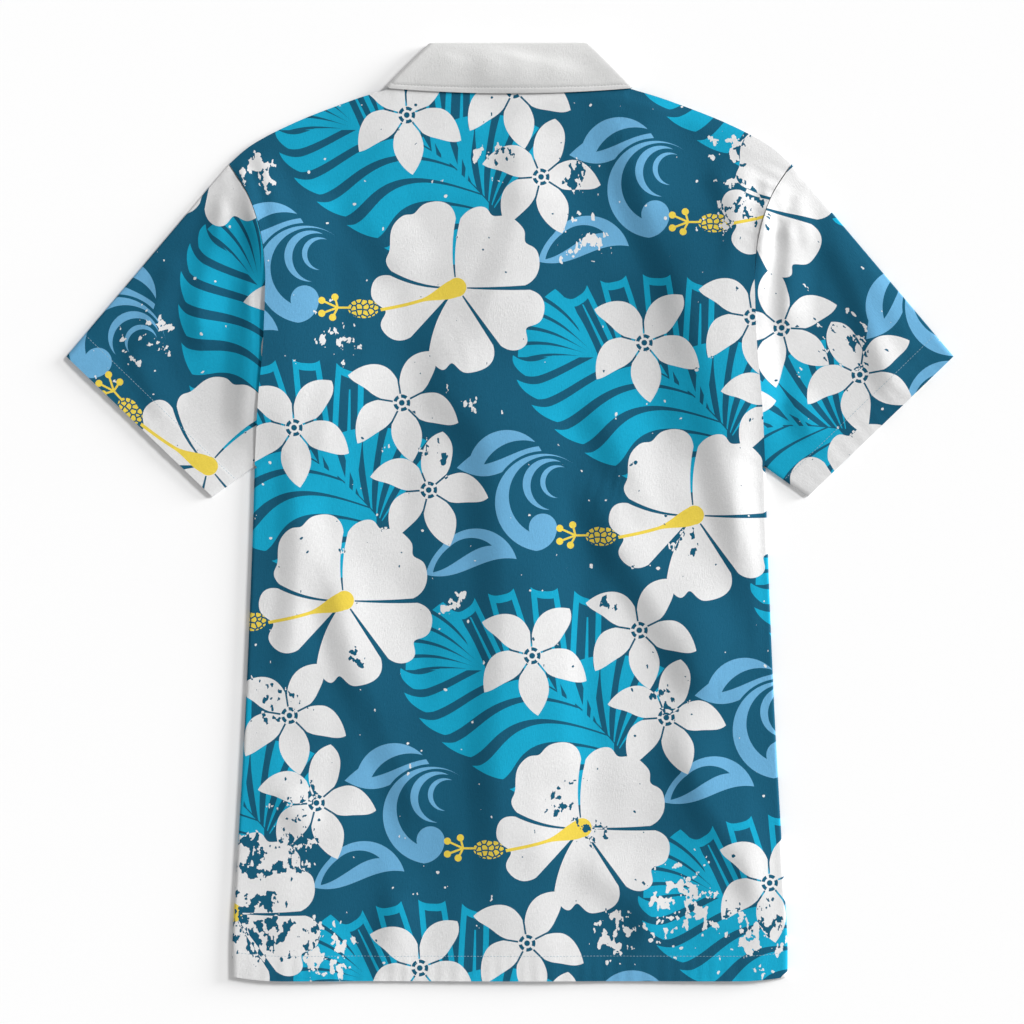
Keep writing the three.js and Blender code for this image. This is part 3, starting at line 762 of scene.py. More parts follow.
def sleeve_piece(side, material):
    """The right sleeve, or the left one as its mirror image: a flattened tube, folded at the top."""
    radius = (2 * WALL + AIR) / 2
    fine_long, fine_wide, turn_steps = 8, 5, 9
    along = steps(9, fine_long)
    wide = steps(LOWER_ARMHOLE + UPPER_ARMHOLE, fine_wide)
    armhole = chain((shifted(backwards(upper_armhole), SEAM / 2), UPPER_ARMHOLE),
                    (shifted(backwards(lower_armhole), SEAM / 2), LOWER_ARMHOLE))
    top_fold = straight(armhole(0)[0], SLEEVE_TIP)
    underarm = straight(armhole(1)[0], SLEEVE_UNDERARM_END)
    hem = straight(SLEEVE_TIP, SLEEVE_UNDERARM_END)
    plan = patch(top_fold, underarm, armhole, hem, along, wide).transpose(1, 0, 2)
    first, last = plan[:, 0], plan[:, -1]
    width = np.linalg.norm(last - first, axis=1)[:, None]
    across = (last - first) / width
    plan = plan + across[:, None] * radius * (1 - 2 * wide[None, :, None])
    x, y = plan[..., 0], plan[..., 1]
    sx = x * side
    free = smoothstep(along, 0.01, 0.14)[:, None] * (np.sin(math.pi * wide) ** 0.4)[None]
    hem_line = np.array(SLEEVE_UNDERARM_END, float) - SLEEVE_TIP
    hem_line /= np.linalg.norm(hem_line)
    from_hem = np.abs((x - SLEEVE_TIP[0]) * hem_line[1] - (y - SLEEVE_TIP[1]) * hem_line[0])
    thicker = HEM_THICKER * folded_hem(from_hem, SLEEVE_HEM_WIDTH)
    under_body = smoothstep(x - side_over_sleeve_x(y), -14, 10)
    creases = crease_height(SLEEVE_CREASES[side], sx, y, scale=SLEEVE_CREASE_SCALE) * under_body
    creases += SLEEVE_RIPPLE * ripple(sx, y, 11 + side)
    up = WALL + AIR + creases * free * blend(0.15, 1, under_body)
    gathered = pucker_height(sx, y) + crease_height(SHOULDER_CREASES, sx, y)
    run = (x - SLEEVE_TIP[0]) * hem_line[0] + (y - SLEEVE_TIP[1]) * hem_line[1]
    up += (gathered + hem_wave(run, from_hem)) * (np.sin(math.pi * wide) ** 0.4)[None] + arm_fold(x, y)
    low = crease_height(SLEEVE_UNDER_CREASES, x, y) * free
    heights = (up + WALL + thicker, up + WALL - THIN - thicker, low, low + THIN + thicker)
    upper, upper_in, lower, lower_in = (np.dstack([x, y, height]) for height in heights)

    def turn(centre, direction, rising):
        angle = math.pi * (0.5 - np.arange(1, turn_steps) / turn_steps) * (-1 if rising else 1)
        made = []
        for size in (radius, radius - THIN):
            flat = centre[:, None] + direction[:, None] * size * np.cos(angle)[None, :, None]
            height = np.repeat((radius + size * np.sin(angle))[None], len(centre), axis=0)
            made.append(np.dstack([flat, height]))
        return made

    under_turn = turn(plan[:, -1], across, False)
    top_turn = turn(plan[:, 0], -across, True)
    # from the seam at the underarm, under the sleeve, round the fold at the top and back over it
    outer = join(lower[:, ::-1], top_turn[0], upper, under_turn[0], lower[:, -1:])
    inner = join(lower_in[:, ::-1], top_turn[1], upper_in, under_turn[1], lower_in[:, -1:])
    down = np.linspace(0, 1, turn_steps + 1)[1:]
    bend = math.pi * radius
    fold = (first[-1] - first[0]) / np.linalg.norm(first[-1] - first[0])
    away = np.array([fold[1], -fold[0]])
    beyond = ((plan - first[0]) @ away)[..., None]
    spread_low = plan - away * (2 * beyond + bend)
    top_cloth = plan[:, :1] - across[:, None] * bend * (1 - down[:-1])[None, :, None]
    under_cloth = plan[:, -1:] + across[:, None] * bend * down[None, :, None]
    cloth = join(spread_low[:, ::-1], top_cloth, plan, under_cloth) * [side, 1]
    printed = SLEEVE_PRINT[side]
    cos, sin = math.cos(-math.radians(printed["turn"])), math.sin(-math.radians(printed["turn"]))
    rel = cloth - printed["centre"]
    cloth_print = np.dstack([rel[..., 0] * cos - rel[..., 1] * sin,
                             rel[..., 0] * sin + rel[..., 1] * cos]) + HIBISCUS_ON_BACK
    worn = worn_at(cloth[..., 0], cloth[..., 1])
    if side < 0:
        outer, inner = (outer * MIRROR)[:, ::-1], (inner * MIRROR)[:, ::-1]
        cloth_print, worn = cloth_print[:, ::-1], worn[:, ::-1]
    name = "sleeve_right" if side > 0 else "sleeve_left"
    made = shell(name + "_cloth", outer, inner, {"cloth": cloth_print, "worn": worn}, material)
    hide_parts(name)
    return made, area_of(cloth_print)


def side_over_sleeve_x(y):
    lower = (line(SIDE_OVER_SLEEVE), LOWER_ARMHOLE)
    edge = chain(lower, (upper_armhole, UPPER_ARMHOLE))(np.linspace(0, 1, 200))
    order = np.argsort(edge[:, 1])
    return np.interp(y, edge[order, 1], edge[order, 0])


def collar_pieces(material):
    fine = 4
    stations = collar_stations(fine)
    outer_radius = (FALL_WALL + SEAM + WALL) / 2
    near = AIR / 2
    far = near + 2 * outer_radius
    edge_steps, fall_steps, roll_steps = 13, 22, 12
    rows_out, rows_in, stand_out, stand_in = [], [], [], []
    for s in stations:
        upward = max(0.0, s["out"][2])  # 1 on the back, 0 on the fronts
        out, inn = [], []
        edge = [FALL_HEM * k / (edge_steps - 3) for k in range(edge_steps)]
        rest = np.linspace(edge[-1], s["width"] - outer_radius, fall_steps + 1)[1:-1]
        for inset in (*edge, *rest):
            share = inset / (s["width"] - outer_radius)
            x, y = on_station(s, s["width"] - inset, 0)[:2]
            rumple = float(crease_height(COLLAR_CREASES, np.array([x]), np.array([y]))[0])
            groove = 0.34 * math.exp(-(((inset - FALL_HEM) / 0.8) ** 2))
            puff = ((1.2 + rumple) * math.sin(math.pi * min(1, share)) ** 0.8 - groove) * upward
            out.append(on_station(s, s["width"] - inset, far + puff))
            inn.append(on_station(s, s["width"] - inset, far + puff - FALL_THIN))
        for k in range(roll_steps + 1):
            angle = math.pi * k / roll_steps
            for size, target in ((outer_radius, out), (outer_radius - FALL_THIN, inn)):
                target.append(on_station(s, outer_radius - size * math.sin(angle),
                                         near + outer_radius + size * math.cos(angle)))
        end = outer_radius + TURN_LIP
        out.append(on_station(s, end, near))
        inn.append(on_station(s, end, near + FALL_THIN))
        rows_out.append(out)
        rows_in.append(inn)
        start = end + SEAM
        distances = np.linspace(s["stand"], start, 14)
        stand_out.append([on_station(s, d, near + WALL) for d in distances])
        stand_in.append([on_station(s, d, near + WALL - FALL_THIN) for d in distances])
    fall = shell("collar_fall_cloth", np.array(rows_out), np.array(rows_in), {}, material)
    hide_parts("collar_fall")
    stand = shell("collar_stand_cloth", np.array(stand_out), np.array(stand_in), {}, material)
    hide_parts("collar_stand")
    return (fall, area_of(np.array(rows_out))), (stand, area_of(np.array(stand_out)))


# Sewing and buttons


def surface_of(made):
    mesh = made.data
    return BVHTree.FromPolygons([v.co[:] for v in mesh.vertices], [f.vertices[:] for f in mesh.polygons])


def on_surface(surface, x, y, from_below):
    """Place and normal of a surface at x, y in mm, seen from above or from below, or None off it."""
    z, way = (-50, 1) if from_below else (50, -1)
    hit, normal, _, _ = surface.ray_cast(Vector((x, y, z)) * MM, Vector((0, 0, way)))
    if hit is None:
        return None
    return hit / MM, normal * (1 if normal.z * way < 0 else -1)


class Thread:
    """Points and faces of many stitches, joined as one mesh."""

    def __init__(self):
        self.points = []
        self.faces = []

    def stitch(self, start, end, up, radius):
        """One plump stitch from start to end, half sunk in the cloth."""
        along = end - start
        side = along.cross(up).normalized()
        base = len(self.points)
        self.points += [start, end]
        rings, corners = (0.12, 0.5, 0.88), 6
        for share in rings:
            size = radius * (0.72 if share != 0.5 else 1.0)
            for k in range(corners):
                angle = math.tau * k / corners
                offset = side * math.cos(angle) + up * math.sin(angle) * 0.8
                self.points.append(start + along * share + offset * size)
        first = base + 2
        for k in range(corners):
            after = (k + 1) % corners
            self.faces.append((base, first + after, first + k))
            for ring in range(len(rings) - 1):
                low, high = first + ring * corners, first + (ring + 1) * corners
                self.faces.append((low + k, low + after, high + after, high + k))
            last = first + (len(rings) - 1) * corners
            self.faces.append((base + 1, last + k, last + after))

    def row(self, surface, points, from_below, pitch=2.9, share=0.74, radius=0.21):
        """Stitches along a line of points in mm, laid on a surface."""
        path = np.array(points, float)
        length = np.linalg.norm(np.diff(path, axis=0), axis=1).sum()
        count = max(1, int(length / pitch))
        places = walked(path)((np.arange(count)[:, None] + [0, share]) / count)
        for start, end in places:
            found = [on_surface(surface, *place, from_below) for place in (start, end)]
            if None in found or abs(found[0][0].z - found[1][0].z) > 1.2:
                continue
            up = (found[0][1] + found[1][1]).normalized()
            self.stitch(found[0][0], found[1][0], up, radius)

    def made(self, name, material):
        mesh = plain_mesh(name, [tuple(p * MM) for p in self.points], self.faces, material)
        mesh.shade_smooth()
        made = placed(name, mesh)
        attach(made, "root")
        return made


def sleeve_hem_line(side):
    tip, end = np.array(SLEEVE_TIP, float), np.array(SLEEVE_UNDERARM_END, float)
    along = (end - tip) / np.linalg.norm(end - tip)
    inward = np.array([along[1], -along[0]])
    share = np.linspace(-0.2, 1.2, 60)[:, None]
    return (tip + inward * SLEEVE_HEM_WIDTH + (end - tip) * share) * [side, 1]


def fall_edge_line(stations, inset):
    return [on_station(s, s["width"] - inset, 0)[:2] for s in stations]


def sew_hems(back, fronts, sleeves, material):
    thread = Thread()
    x = np.linspace(-239, 239, 120)
    thread.row(surface_of(back), np.stack([x, hem_y(x) + HEM_WIDTH], axis=-1), False)
    for side, front in fronts.items():
        start = -OVERLAP + 3 if side < 0 else OVERLAP + 3
        x = np.linspace(start, 232, 90)
        thread.row(surface_of(front), np.stack([x * side, hem_y(x) + HEM_WIDTH], axis=-1), True)
    for side, sleeve in sleeves.items():
        surface = surface_of(sleeve)
        thread.row(surface, sleeve_hem_line(side), False)
        thread.row(surface, sleeve_hem_line(side), True)
    return thread.made("hem_stitches", material)


def sew_collar(fall, material):
    thread = Thread()
    surface = surface_of(fall)
    backs = [back_station(k / 24) for k in range(24, -1, -1)]
    right = np.array(fall_edge_line(backs, FALL_HEM))
    thread.row(surface, np.vstack([right, right[-2::-1] * [-1, 1]]), False, radius=0.34)
    edge = np.array(fall_edge_line([front_station(k / 24) for k in range(24)], FALL_HEM))
    point, end = np.array(COLLAR_POINT, float), np.array(FRONT_END, float)
    inward = np.array([0.7, 0.72]) * FALL_HEM
    tip = blend(point, end, 0.09) + inward
    for side in (-1, 1):
        thread.row(surface, edge * [side, 1], True, radius=0.34)
        thread.row(surface, np.array([tip, end + inward]) * [side, 1], True, radius=0.34)
    return thread.made("collar_stitches", material)


def button_places():
    return [(0.0, BUTTON_FIRST_Y - k * BUTTON_SPACING) for k in range(BUTTON_COUNT)]


def sew_front(front, material):
    """The placket's two rows, the buttonholes and the buttons' threads, on the front that lies lowest."""
    thread = Thread()
    surface = surface_of(front)
    for x in (OVERLAP - 4, OVERLAP - FACING_WIDTH + 1):
        thread.row(surface, [(x, FRONT_TOP_Y - 6), (x, -HALF_LENGTH + 3)], True)
    for x, y in button_places():
        for k in range(26):
            at = y - 9 + 18 * k / 25
            for side in (-1, 1):
                found = [on_surface(surface, x + side * far, at, True) for far in (0.35, 1.7)]
                if None not in found:
                    thread.stitch(found[0][0], found[1][0], Vector((0, 0, -1)), 0.3)
        face = Vector((0, 0, -1))
        for across in (-1, 1):
            start = Vector((x - 1.9, y + across * 1.5, 0.62))
            thread.stitch(start, start + Vector((3.8, 0, 0)), face, 0.42)
            for hole in (-1, 1):
                foot = Vector((x + hole * 1.5, y + across * 1.5, 0.6))
                thread.stitch(foot, foot + Vector((0, 0, 2.4)), Vector((1, 0, 0)), 0.4)
    return thread.made("front_stitches", material)


def button_mesh(material):
    """A four-hole button, its rim rounded and its face dished, lying face down on z = 0."""
    around, holes_around, hole_radius, hole_offset = 40, 14, 0.8, 1.5
    # distance from the middle, height of the face and height of the back
    profile = [(BUTTON_RADIUS, 0.9, 1.3), (5.55, 0.35, 1.75), (5.1, 0.06, 2.05), (4.6, 0.0, BUTTON_THICK),
               (4.1, 0.12, BUTTON_THICK), (3.6, 0.48, BUTTON_THICK), (3.1, 0.6, BUTTON_THICK)]
    points, edges = [], []

    def loop(cx, cy, radius, count):
        start = len(points)
        for k in range(count):
            angle = math.tau * k / count
            points.append(Vector((cx + radius * math.cos(angle), cy + radius * math.sin(angle))))
            edges.append((start + k, start + (k + 1) % count))

    for radius, _, _ in profile:
        loop(0, 0, radius, around)
    middles = [(sx * hole_offset, sy * hole_offset) for sx in (-1, 1) for sy in (-1, 1)]
    for cx, cy in middles:
        loop(cx, cy, hole_radius, holes_around)
    flat, _, cells, _, _, _ = geometry.delaunay_2d_cdt(points, edges, [], 0, 1e-5)
    far = [p.length for p in flat]
    radii = [row[0] for row in profile][::-1]
    face = np.interp(far, radii, [row[1] for row in profile][::-1])
    rear = np.interp(far, radii, [row[2] for row in profile][::-1])
    kept = []
    for cell in cells:
        middle = sum((flat[k] for k in cell), Vector((0, 0))) / len(cell)
        if all((middle - Vector(hole)).length > hole_radius * 0.98 for hole in middles):
            kept.append(tuple(cell))
    count = len(flat)
    corners = [(p.x * MM, p.y * MM, z * MM) for heights in (face, rear) for p, z in zip(flat, heights)]
    faces = [cell[::-1] for cell in kept] + [tuple(k + count for k in cell) for cell in kept]
    used = {}
    for cell in kept:
        for a, b in zip(cell, cell[1:] + cell[:1]):
            used[(a, b)] = True
    faces += [(a, b, b + count, a + count) for a, b in used if (b, a) not in used]
    mesh = plain_mesh("button", corners, faces, material)
    mesh.validate()
    mesh.shade_smooth()
    mesh.set_sharp_from_angle(angle=math.radians(40))
    return mesh


def buttons(material):
    mesh = button_mesh(material)
    made = []
    for number_of, (x, y) in enumerate(button_places(), 1):
        button = placed(f"shell_button_{number_of}", mesh)
        button.location = (x * MM, y * MM, 0)
        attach(button, "root")
        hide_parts(f"button_{number_of}")
        made.append(button)
    return made


# Materials


def linear(colour):
    """A colour given as the eye sees it, 0 to 255, as light."""
    share = [c / 255 for c in colour]
    return [s / 12.92 if s <= 0.04045 else ((s + 0.055) / 1.055) ** 2.4 for s in share] + [1]


class Number:
    """A number in a material's node tree. Arithmetic and comparisons with it add Math nodes."""

    def __init__(self, tree, socket):
        self.tree = tree
        self.socket = socket

    def of(self, operation):
        return number(self.tree, operation, self)

    def ramp(self, start, end, low=0.0, high=1.0):
        """A smooth step from low to high as this number goes from start to end."""
        values = (self, start, end, low, high)
        node = fed_node(self.tree, "MapRange", values, interpolation_type="SMOOTHSTEP")
        return Number(self.tree, node.outputs[0])


def fed_node(tree, kind, values, **settings):
    """A node with its settings, and its first inputs fed by Numbers, sockets and constants."""
    node = tree.nodes.new("ShaderNode" + kind)
    for key, setting in settings.items():
        setattr(node, key, setting)
    for slot, value in zip(node.inputs, values):
        feed(tree, slot, value)
    return node


def feed(tree, slot, value):
    value = getattr(value, "socket", value)
    if isinstance(value, bpy.types.NodeSocket):
        tree.links.new(value, slot)
    else:
        slot.default_value = value


def number(tree, operation, *values):
    return Number(tree, fed_node(tree, "Math", values, operation=operation).outputs[0])


def arithmetic(operation, turned=False):
    """A method of Number that adds a Math node, with its two values turned round if asked for."""
    return lambda self, *other: number(self.tree, operation, *((*other, self) if turned else (self, *other)))


for names, operation in (("add radd", "ADD"), ("sub", "SUBTRACT"), ("mul rmul and", "MULTIPLY"),
                         ("or", "MAXIMUM"), ("truediv", "DIVIDE"), ("pow", "POWER"), ("lt", "LESS_THAN"),
                         ("gt", "GREATER_THAN"), ("abs", "ABSOLUTE")):
    for name in names.split():
        setattr(Number, f"__{name}__", arithmetic(operation))
Number.__rsub__ = arithmetic("SUBTRACT", turned=True)
Number.__invert__ = lambda self: 1.0 - self


def vector_node(tree, operation, *values):
    """A Vector Math node's output: a socket, or a Number where the result is one number."""
    node = fed_node(tree, "VectorMath", values, operation=operation)
    single = operation in ("DOT_PRODUCT", "LENGTH", "DISTANCE")
    return Number(tree, node.outputs["Value"]) if single else node.outputs["Vector"]


def vector_of(tree, x, y):
    return fed_node(tree, "CombineXYZ", (x, y)).outputs[0]


def parts_of(tree, place):
    """The three numbers of a place."""
    return [Number(tree, part) for part in fed_node(tree, "SeparateXYZ", (place,)).outputs]


def repeated(tree, cloth, centre):
    """Place relative to the nearest copy of a motif: centre is relative to a hibiscus, in mm."""
    (ax, ay), (bx, by) = REPEAT_A, REPEAT_B
    area = ax * by - ay * bx
    origin = (HIBISCUS_ON_BACK[0] + centre[0], HIBISCUS_ON_BACK[1] + centre[1], 0)
    offset = vector_node(tree, "SUBTRACT", cloth, origin)
    s = vector_node(tree, "DOT_PRODUCT", offset, (by / area, -bx / area, 0))
    t = vector_node(tree, "DOT_PRODUCT", offset, (-ay / area, ax / area, 0))
    wrapped = vector_node(tree, "FRACTION", vector_of(tree, s + 0.5, t + 0.5))
    wrapped = vector_node(tree, "SUBTRACT", wrapped, (0.5, 0.5, 0))
    x = vector_node(tree, "DOT_PRODUCT", wrapped, (ax, bx, 0))
    y = vector_node(tree, "DOT_PRODUCT", wrapped, (ay, by, 0))
    return x, y


def polar(tree, x, y):
    """Distance from the middle, and the direction anticlockwise from +X in radians."""
    return vector_node(tree, "LENGTH", vector_of(tree, x, y)), number(tree, "ARCTAN2", y, x)


def hibiscus(tree, cloth):
    """Five broad petals with notched round ends and thin gaps. Returns the mask of its white."""
    x, y = repeated(tree, cloth, (0, 0))
    far, angle = polar(tree, x, y)
    degrees = angle * (180 / math.pi)
    gap = far * 0.028 + 0.35
    shape = far < 9.0
    for petal in PETALS:
        turned = degrees - far * petal["drift"] - petal["middle"]
        half = far * petal["spread"] + petal["half"]
        share = ((turned / 360 + 0.5).of("FRACT") - 0.5) * 360 / half
        room = (1.0 - abs(share)) * half * far * (math.pi / 180)
        rounded = number(tree, "MAXIMUM", 1.0 - abs(share) ** 4.0, 0.0).of("SQRT")
        reach = rounded * (petal["reach"] - petal["waist"]) + petal["waist"]
        for place, depth, width in petal["notches"]:
            beside = (share - place) / width
            reach = reach - (beside * beside * -1.0).of("EXPONENT") * depth
        shape = shape | ((far < reach) & (room > gap))
    return shape


def pistil(tree, cloth):
    """A drop with a long stem, a cone of seeds and four rays with round ends. Returns its mask."""
    x, y = repeated(tree, cloth, (0, 0))
    place = vector_of(tree, x, y)
    stem_end = (-67.0, -19.5)
    length = math.hypot(*stem_end)
    along = vector_node(tree, "DOT_PRODUCT", place, (stem_end[0] / length, stem_end[1] / length, 0))
    across = vector_node(tree, "DOT_PRODUCT", place, (-stem_end[1] / length, stem_end[0] / length, 0))
    bent = abs(across + (along * (math.pi / length)).of("SINE") * -2.2)
    stem = (bent < along.ramp(2, 34, 8.0, 1.4)) & (along > 0.0) & (along < length)
    drop = vector_node(tree, "LENGTH", place) < 8.4
    cone_x, cone_y = x + 82.0, y + 18.6
    inside = vector_node(tree, "LENGTH", vector_of(tree, cone_x / 13.4, cone_y / 8.4)) < 1.0
    cone_place = vector_of(tree, cone_x, cone_y)
    seeds = fed_node(tree, "TexVoronoi", [cone_place], voronoi_dimensions="2D", feature="DISTANCE_TO_EDGE")
    seeds.inputs["Scale"].default_value = 1 / 4.9
    seeds.inputs["Randomness"].default_value = 0.6
    cone = inside & (Number(tree, seeds.outputs["Distance"]) > 0.13)
    hub = (-104.5, -17.8)
    rays = (abs(y - hub[1]) < 0.9) & (x > hub[0]) & (x < -93.0)
    for end in RAY_ENDS:
        size = math.hypot(*end)
        step = (end[0] / size, end[1] / size)
        offset = vector_node(tree, "SUBTRACT", place, (*hub, 0))
        out = vector_node(tree, "DOT_PRODUCT", offset, (*step, 0))
        beside = abs(vector_node(tree, "DOT_PRODUCT", offset, (-step[1], step[0], 0)))
        ray = (beside < 0.9) & (out > -0.5) & (out < size)
        rays = rays | ray | in_circle(tree, place, hub[0] + end[0], hub[1] + end[1], 3.1)
    return stem | drop | cone | rays


def plumeria(tree, cloth, centre, turn):
    """Five pointed petals like a pinwheel. Returns the masks of its white and of its dark middle."""
    x, y = repeated(tree, cloth, centre)
    far, angle = polar(tree, x, y)
    part = math.tau / 5
    bent = angle - math.radians(turn) + angle.of("COSINE") * far.ramp(30, 60, 0, 0.32)
    petal = ((bent / part + 0.5).of("FRACT") - 0.5) * part
    shape = vector_of(tree, petal.of("COSINE") * far, petal.of("SINE") * far)
    above = vector_node(tree, "DISTANCE", shape, (29.5, -19.5, 0)) < 32.8
    below = vector_node(tree, "DISTANCE", shape, (26.5, 15.5, 0)) < 28.6
    gap = (part / 2 - abs(petal)) * far > 0.8
    white = (above & below & gap) | (far < 8.0)
    ring = (abs(far - 5.9) < 1.5) & ((angle * 5.0).of("COSINE") > -0.55)
    return white, ring | (far < 2.5)


def frond(tree, cloth):
    """A broad cut leaf, its rib running up to the left. Returns its mask.

    Below the rib are long curved lobes. Above it are a fan of blades at the far end, four tall lobes
    that are only outlined, and upright blades at the near end.
    """
    x, y = repeated(tree, cloth, (-62, 118))
    x, y = x - 62.0, y + 118.0
    rise = (132.0 - y) / 20.0
    run = x + 160.0 - rise * rise * 3.3
    hook = number(tree, "MAXIMUM", 1.0 - run / 24.0, 0.0) ** 2.0
    lobe = rise + (1.0 - (run * (math.pi / 118)).of("COSINE")) + hook * 0.42
    part = lobe.of("FRACT")
    gap = run.ramp(58, 160, 0.34, 0.10)
    rib = 140.0 - number(tree, "MAXIMUM", x + 90.0, 0.0) ** 2.1 * (66 / 118**2.1)
    under_rib = (y < rib) & (x < 28.0)
    tips = part**3.0 * 32.0 + number(tree, "MAXIMUM", rise, 0.0) * 3.7
    lobes = (part < 1.0 - gap) & (run > tips) & (lobe > -0.42) & (rise < 5.6) & under_rib
    # fan at the far end
    far, angle = polar(tree, x + 84.0, y - 138.5)
    swept = angle * (180 / math.pi) - far * far * 0.0020
    blade = (swept / 12.5).of("FRACT")
    blades = (blade < far.ramp(6, 46, 1.0, 0.76)) & (far < 71.0) & (swept > 112.0)
    blades = blades & (angle < math.radians(181))
    # outlined tall lobes
    drop = 207.0 - y
    wide = 1.0 - drop * 0.0045
    place = (x + drop * 0.0195) / wide
    crown = ((place + 109.0) / 38.0 + 0.5).of("FRACT") * 38.0 - 19.0
    half = drop * 0.10 + 12.0
    from_side = (half - abs(crown)) * wide
    top = 208.0 - (place + 40.0) * (place + 40.0) * 0.0033 + (abs(crown) / 12.0) ** 3.0 * 4.0
    below_top = top - y
    rim = (from_side < 5.0) | (below_top < 6.5)
    vein = (abs(crown - drop * 0.03) < drop * 0.035) & (drop > 22.0)
    tall = (from_side > 0.0) & (below_top > 0.0) & (place > -128.0) & (place < 24.0) & (y > rib)
    crowns = (rim | vein) & tall
    # upright blades at the near end
    near, lean = polar(tree, x - 27.0, y - 60.0)
    fanned = (lean * (180 / math.pi) + near * 0.10) / 13.5
    narrow = near.ramp(18, 78, 0.16, 0.34)
    uprights = (abs(fanned.of("FRACT") - 0.5) < narrow) & (y > rib + 1.5) & (near < 92.0) & (lean > 0.9)
    uprights = uprights & (x > -34.0) & (lean < 2.3)
    return lobes | blades | crowns | uprights


def in_circle(tree, place, x, y, radius):
    return vector_node(tree, "DISTANCE", place, (x, y, 0)) < radius


def wave_above(x, y, level, height, rate, start):
    """Where y lies above a level with a wave in it."""
    return y > ((x - start) * rate).of("SINE") * height + level


def slit_leaf(tree, cloth):
    """A pale arched leaf with a dark slit along it. Returns its mask."""
    x, y = repeated(tree, cloth, (113, 42))
    x, y = x + 113.0, y + 42.0
    leant = x + number(tree, "MAXIMUM", 47.0 - y, 0.0) * 0.3 * (x < 112.0)
    place = vector_of(tree, leant, y)
    leaf = in_circle(tree, place, 115.5, 26, 37) & wave_above(x, y, 29.0, 8.0, 0.052, 113.0)
    slit = in_circle(tree, place, 111.5, 27.5, 27.3) & wave_above(x, y, 36.0, 12.0, 0.055, 101.0)
    return leaf & ~slit


def scroll(tree, cloth):
    """A curled stroke with a round end, two side strokes and a pair of plumes. Returns its mask."""
    x, y = repeated(tree, cloth, (-150, 22))
    x, y = x - 150.0, y + 22.0
    place = vector_of(tree, x, y)
    ring = in_circle(tree, place, -132.2, 10.9, 42.8) & ~in_circle(tree, place, -127.5, 16.5, 35.5)
    stroke = ring & ((x < -139.0) | ((y > 20.0) & (x < -106.0)))
    bulb = in_circle(tree, place, -133.1, -11, 12.3)
    bulb = bulb | (in_circle(tree, place, -141.3, -11, 20.5) & (y < -11.0) & (x > -139.5))
    second = in_circle(tree, place, -128.4, 27.1, 22.4) & ~in_circle(tree, place, -122.5, 25.7, 21.5)
    third = in_circle(tree, place, -121.1, 29.4, 14.3) & ~in_circle(tree, place, -117.3, 28.5, 13.7)
    leant = x + number(tree, "MAXIMUM", 52.0 - y, 0.0) * x.ramp(-200, -164, 0.95, 0)
    plumes = in_circle(tree, vector_of(tree, leant, y), -164.5, 40.5, 34)
    plumes = plumes & wave_above(x, y, 46.0, 12.0, 0.05, -153.5)
    slit = in_circle(tree, place, -150.5, 27, 38.5) & wave_above(x, y, 52.0, 8.6, 0.05, -163.0)
    clear = ~in_circle(tree, place, -132.2, 10.9, 45.3)
    return stroke | bulb | second | third | (plumes & ~slit & clear)


def noise(tree, place, scale, detail=2.0, roughness=0.5):
    node = fed_node(tree, "TexNoise", [place])
    for key, value in (("Scale", scale), ("Detail", detail), ("Roughness", roughness)):
        node.inputs[key].default_value = value
    return Number(tree, node.outputs["Fac"])


def mixed(tree, factor, under, over, mode="MIX"):
    """One colour over another. A colour is a socket or four numbers."""
    node = fed_node(tree, "Mix", [], data_type="RGBA", blend_type=mode)
    for slot, value in ((0, factor), (6, under), (7, over)):
        feed(tree, node.inputs[slot], value)
    return node.outputs[2]


def toned(tree, colour, tone):
    """A colour made lighter or darker by a number."""
    grey = fed_node(tree, "CombineXYZ", [tone] * 3).outputs[0]
    return mixed(tree, 1.0, colour, grey, "MULTIPLY")


def new_material(name, roughness, sheen=0.0, specular=0.3):
    material = bpy.data.materials.new(name)
    material.use_nodes = True
    tree = material.node_tree
    shader = tree.nodes["Principled BSDF"]
    shader.inputs["Roughness"].default_value = roughness
    shader.inputs["Sheen Weight"].default_value = sheen
    shader.inputs["Specular IOR Level"].default_value = specular
    return material, tree, shader


def attribute(tree, name):
    return fed_node(tree, "Attribute", [], attribute_name=name)


def place_in_mm(tree, along_y=1.0):
    """The place on the object in mm, with its part along Y drawn out or in."""
    place = tree.nodes.new("ShaderNodeTexCoord").outputs["Object"]
    return vector_node(tree, "MULTIPLY", place, (1 / MM, along_y / MM, 1 / MM))


def weave_bump(tree, shader, place, strength, thread=0.62):
    """Fine crossing threads with slubs, as a bump. place is in mm."""
    x, y, _ = parts_of(tree, place)
    warp = (x * (math.tau / thread)).of("SINE")
    weft = (y * (math.tau / thread)).of("SINE")
    slub = noise(tree, vector_node(tree, "MULTIPLY", place, (1.0, 0.22, 1.0)), 1.1, 3.0, 0.6)
    grain = noise(tree, place, 0.4, 3.0, 0.65)
    height = warp * weft * 0.22 + slub + grain
    bump = tree.nodes.new("ShaderNodeBump")
    bump.inputs["Strength"].default_value = strength
    bump.inputs["Distance"].default_value = 0.25 * MM
    tree.links.new(height.socket, bump.inputs["Height"])
    tree.links.new(bump.outputs[0], shader.inputs["Normal"])
    return (slub + grain) * 0.5


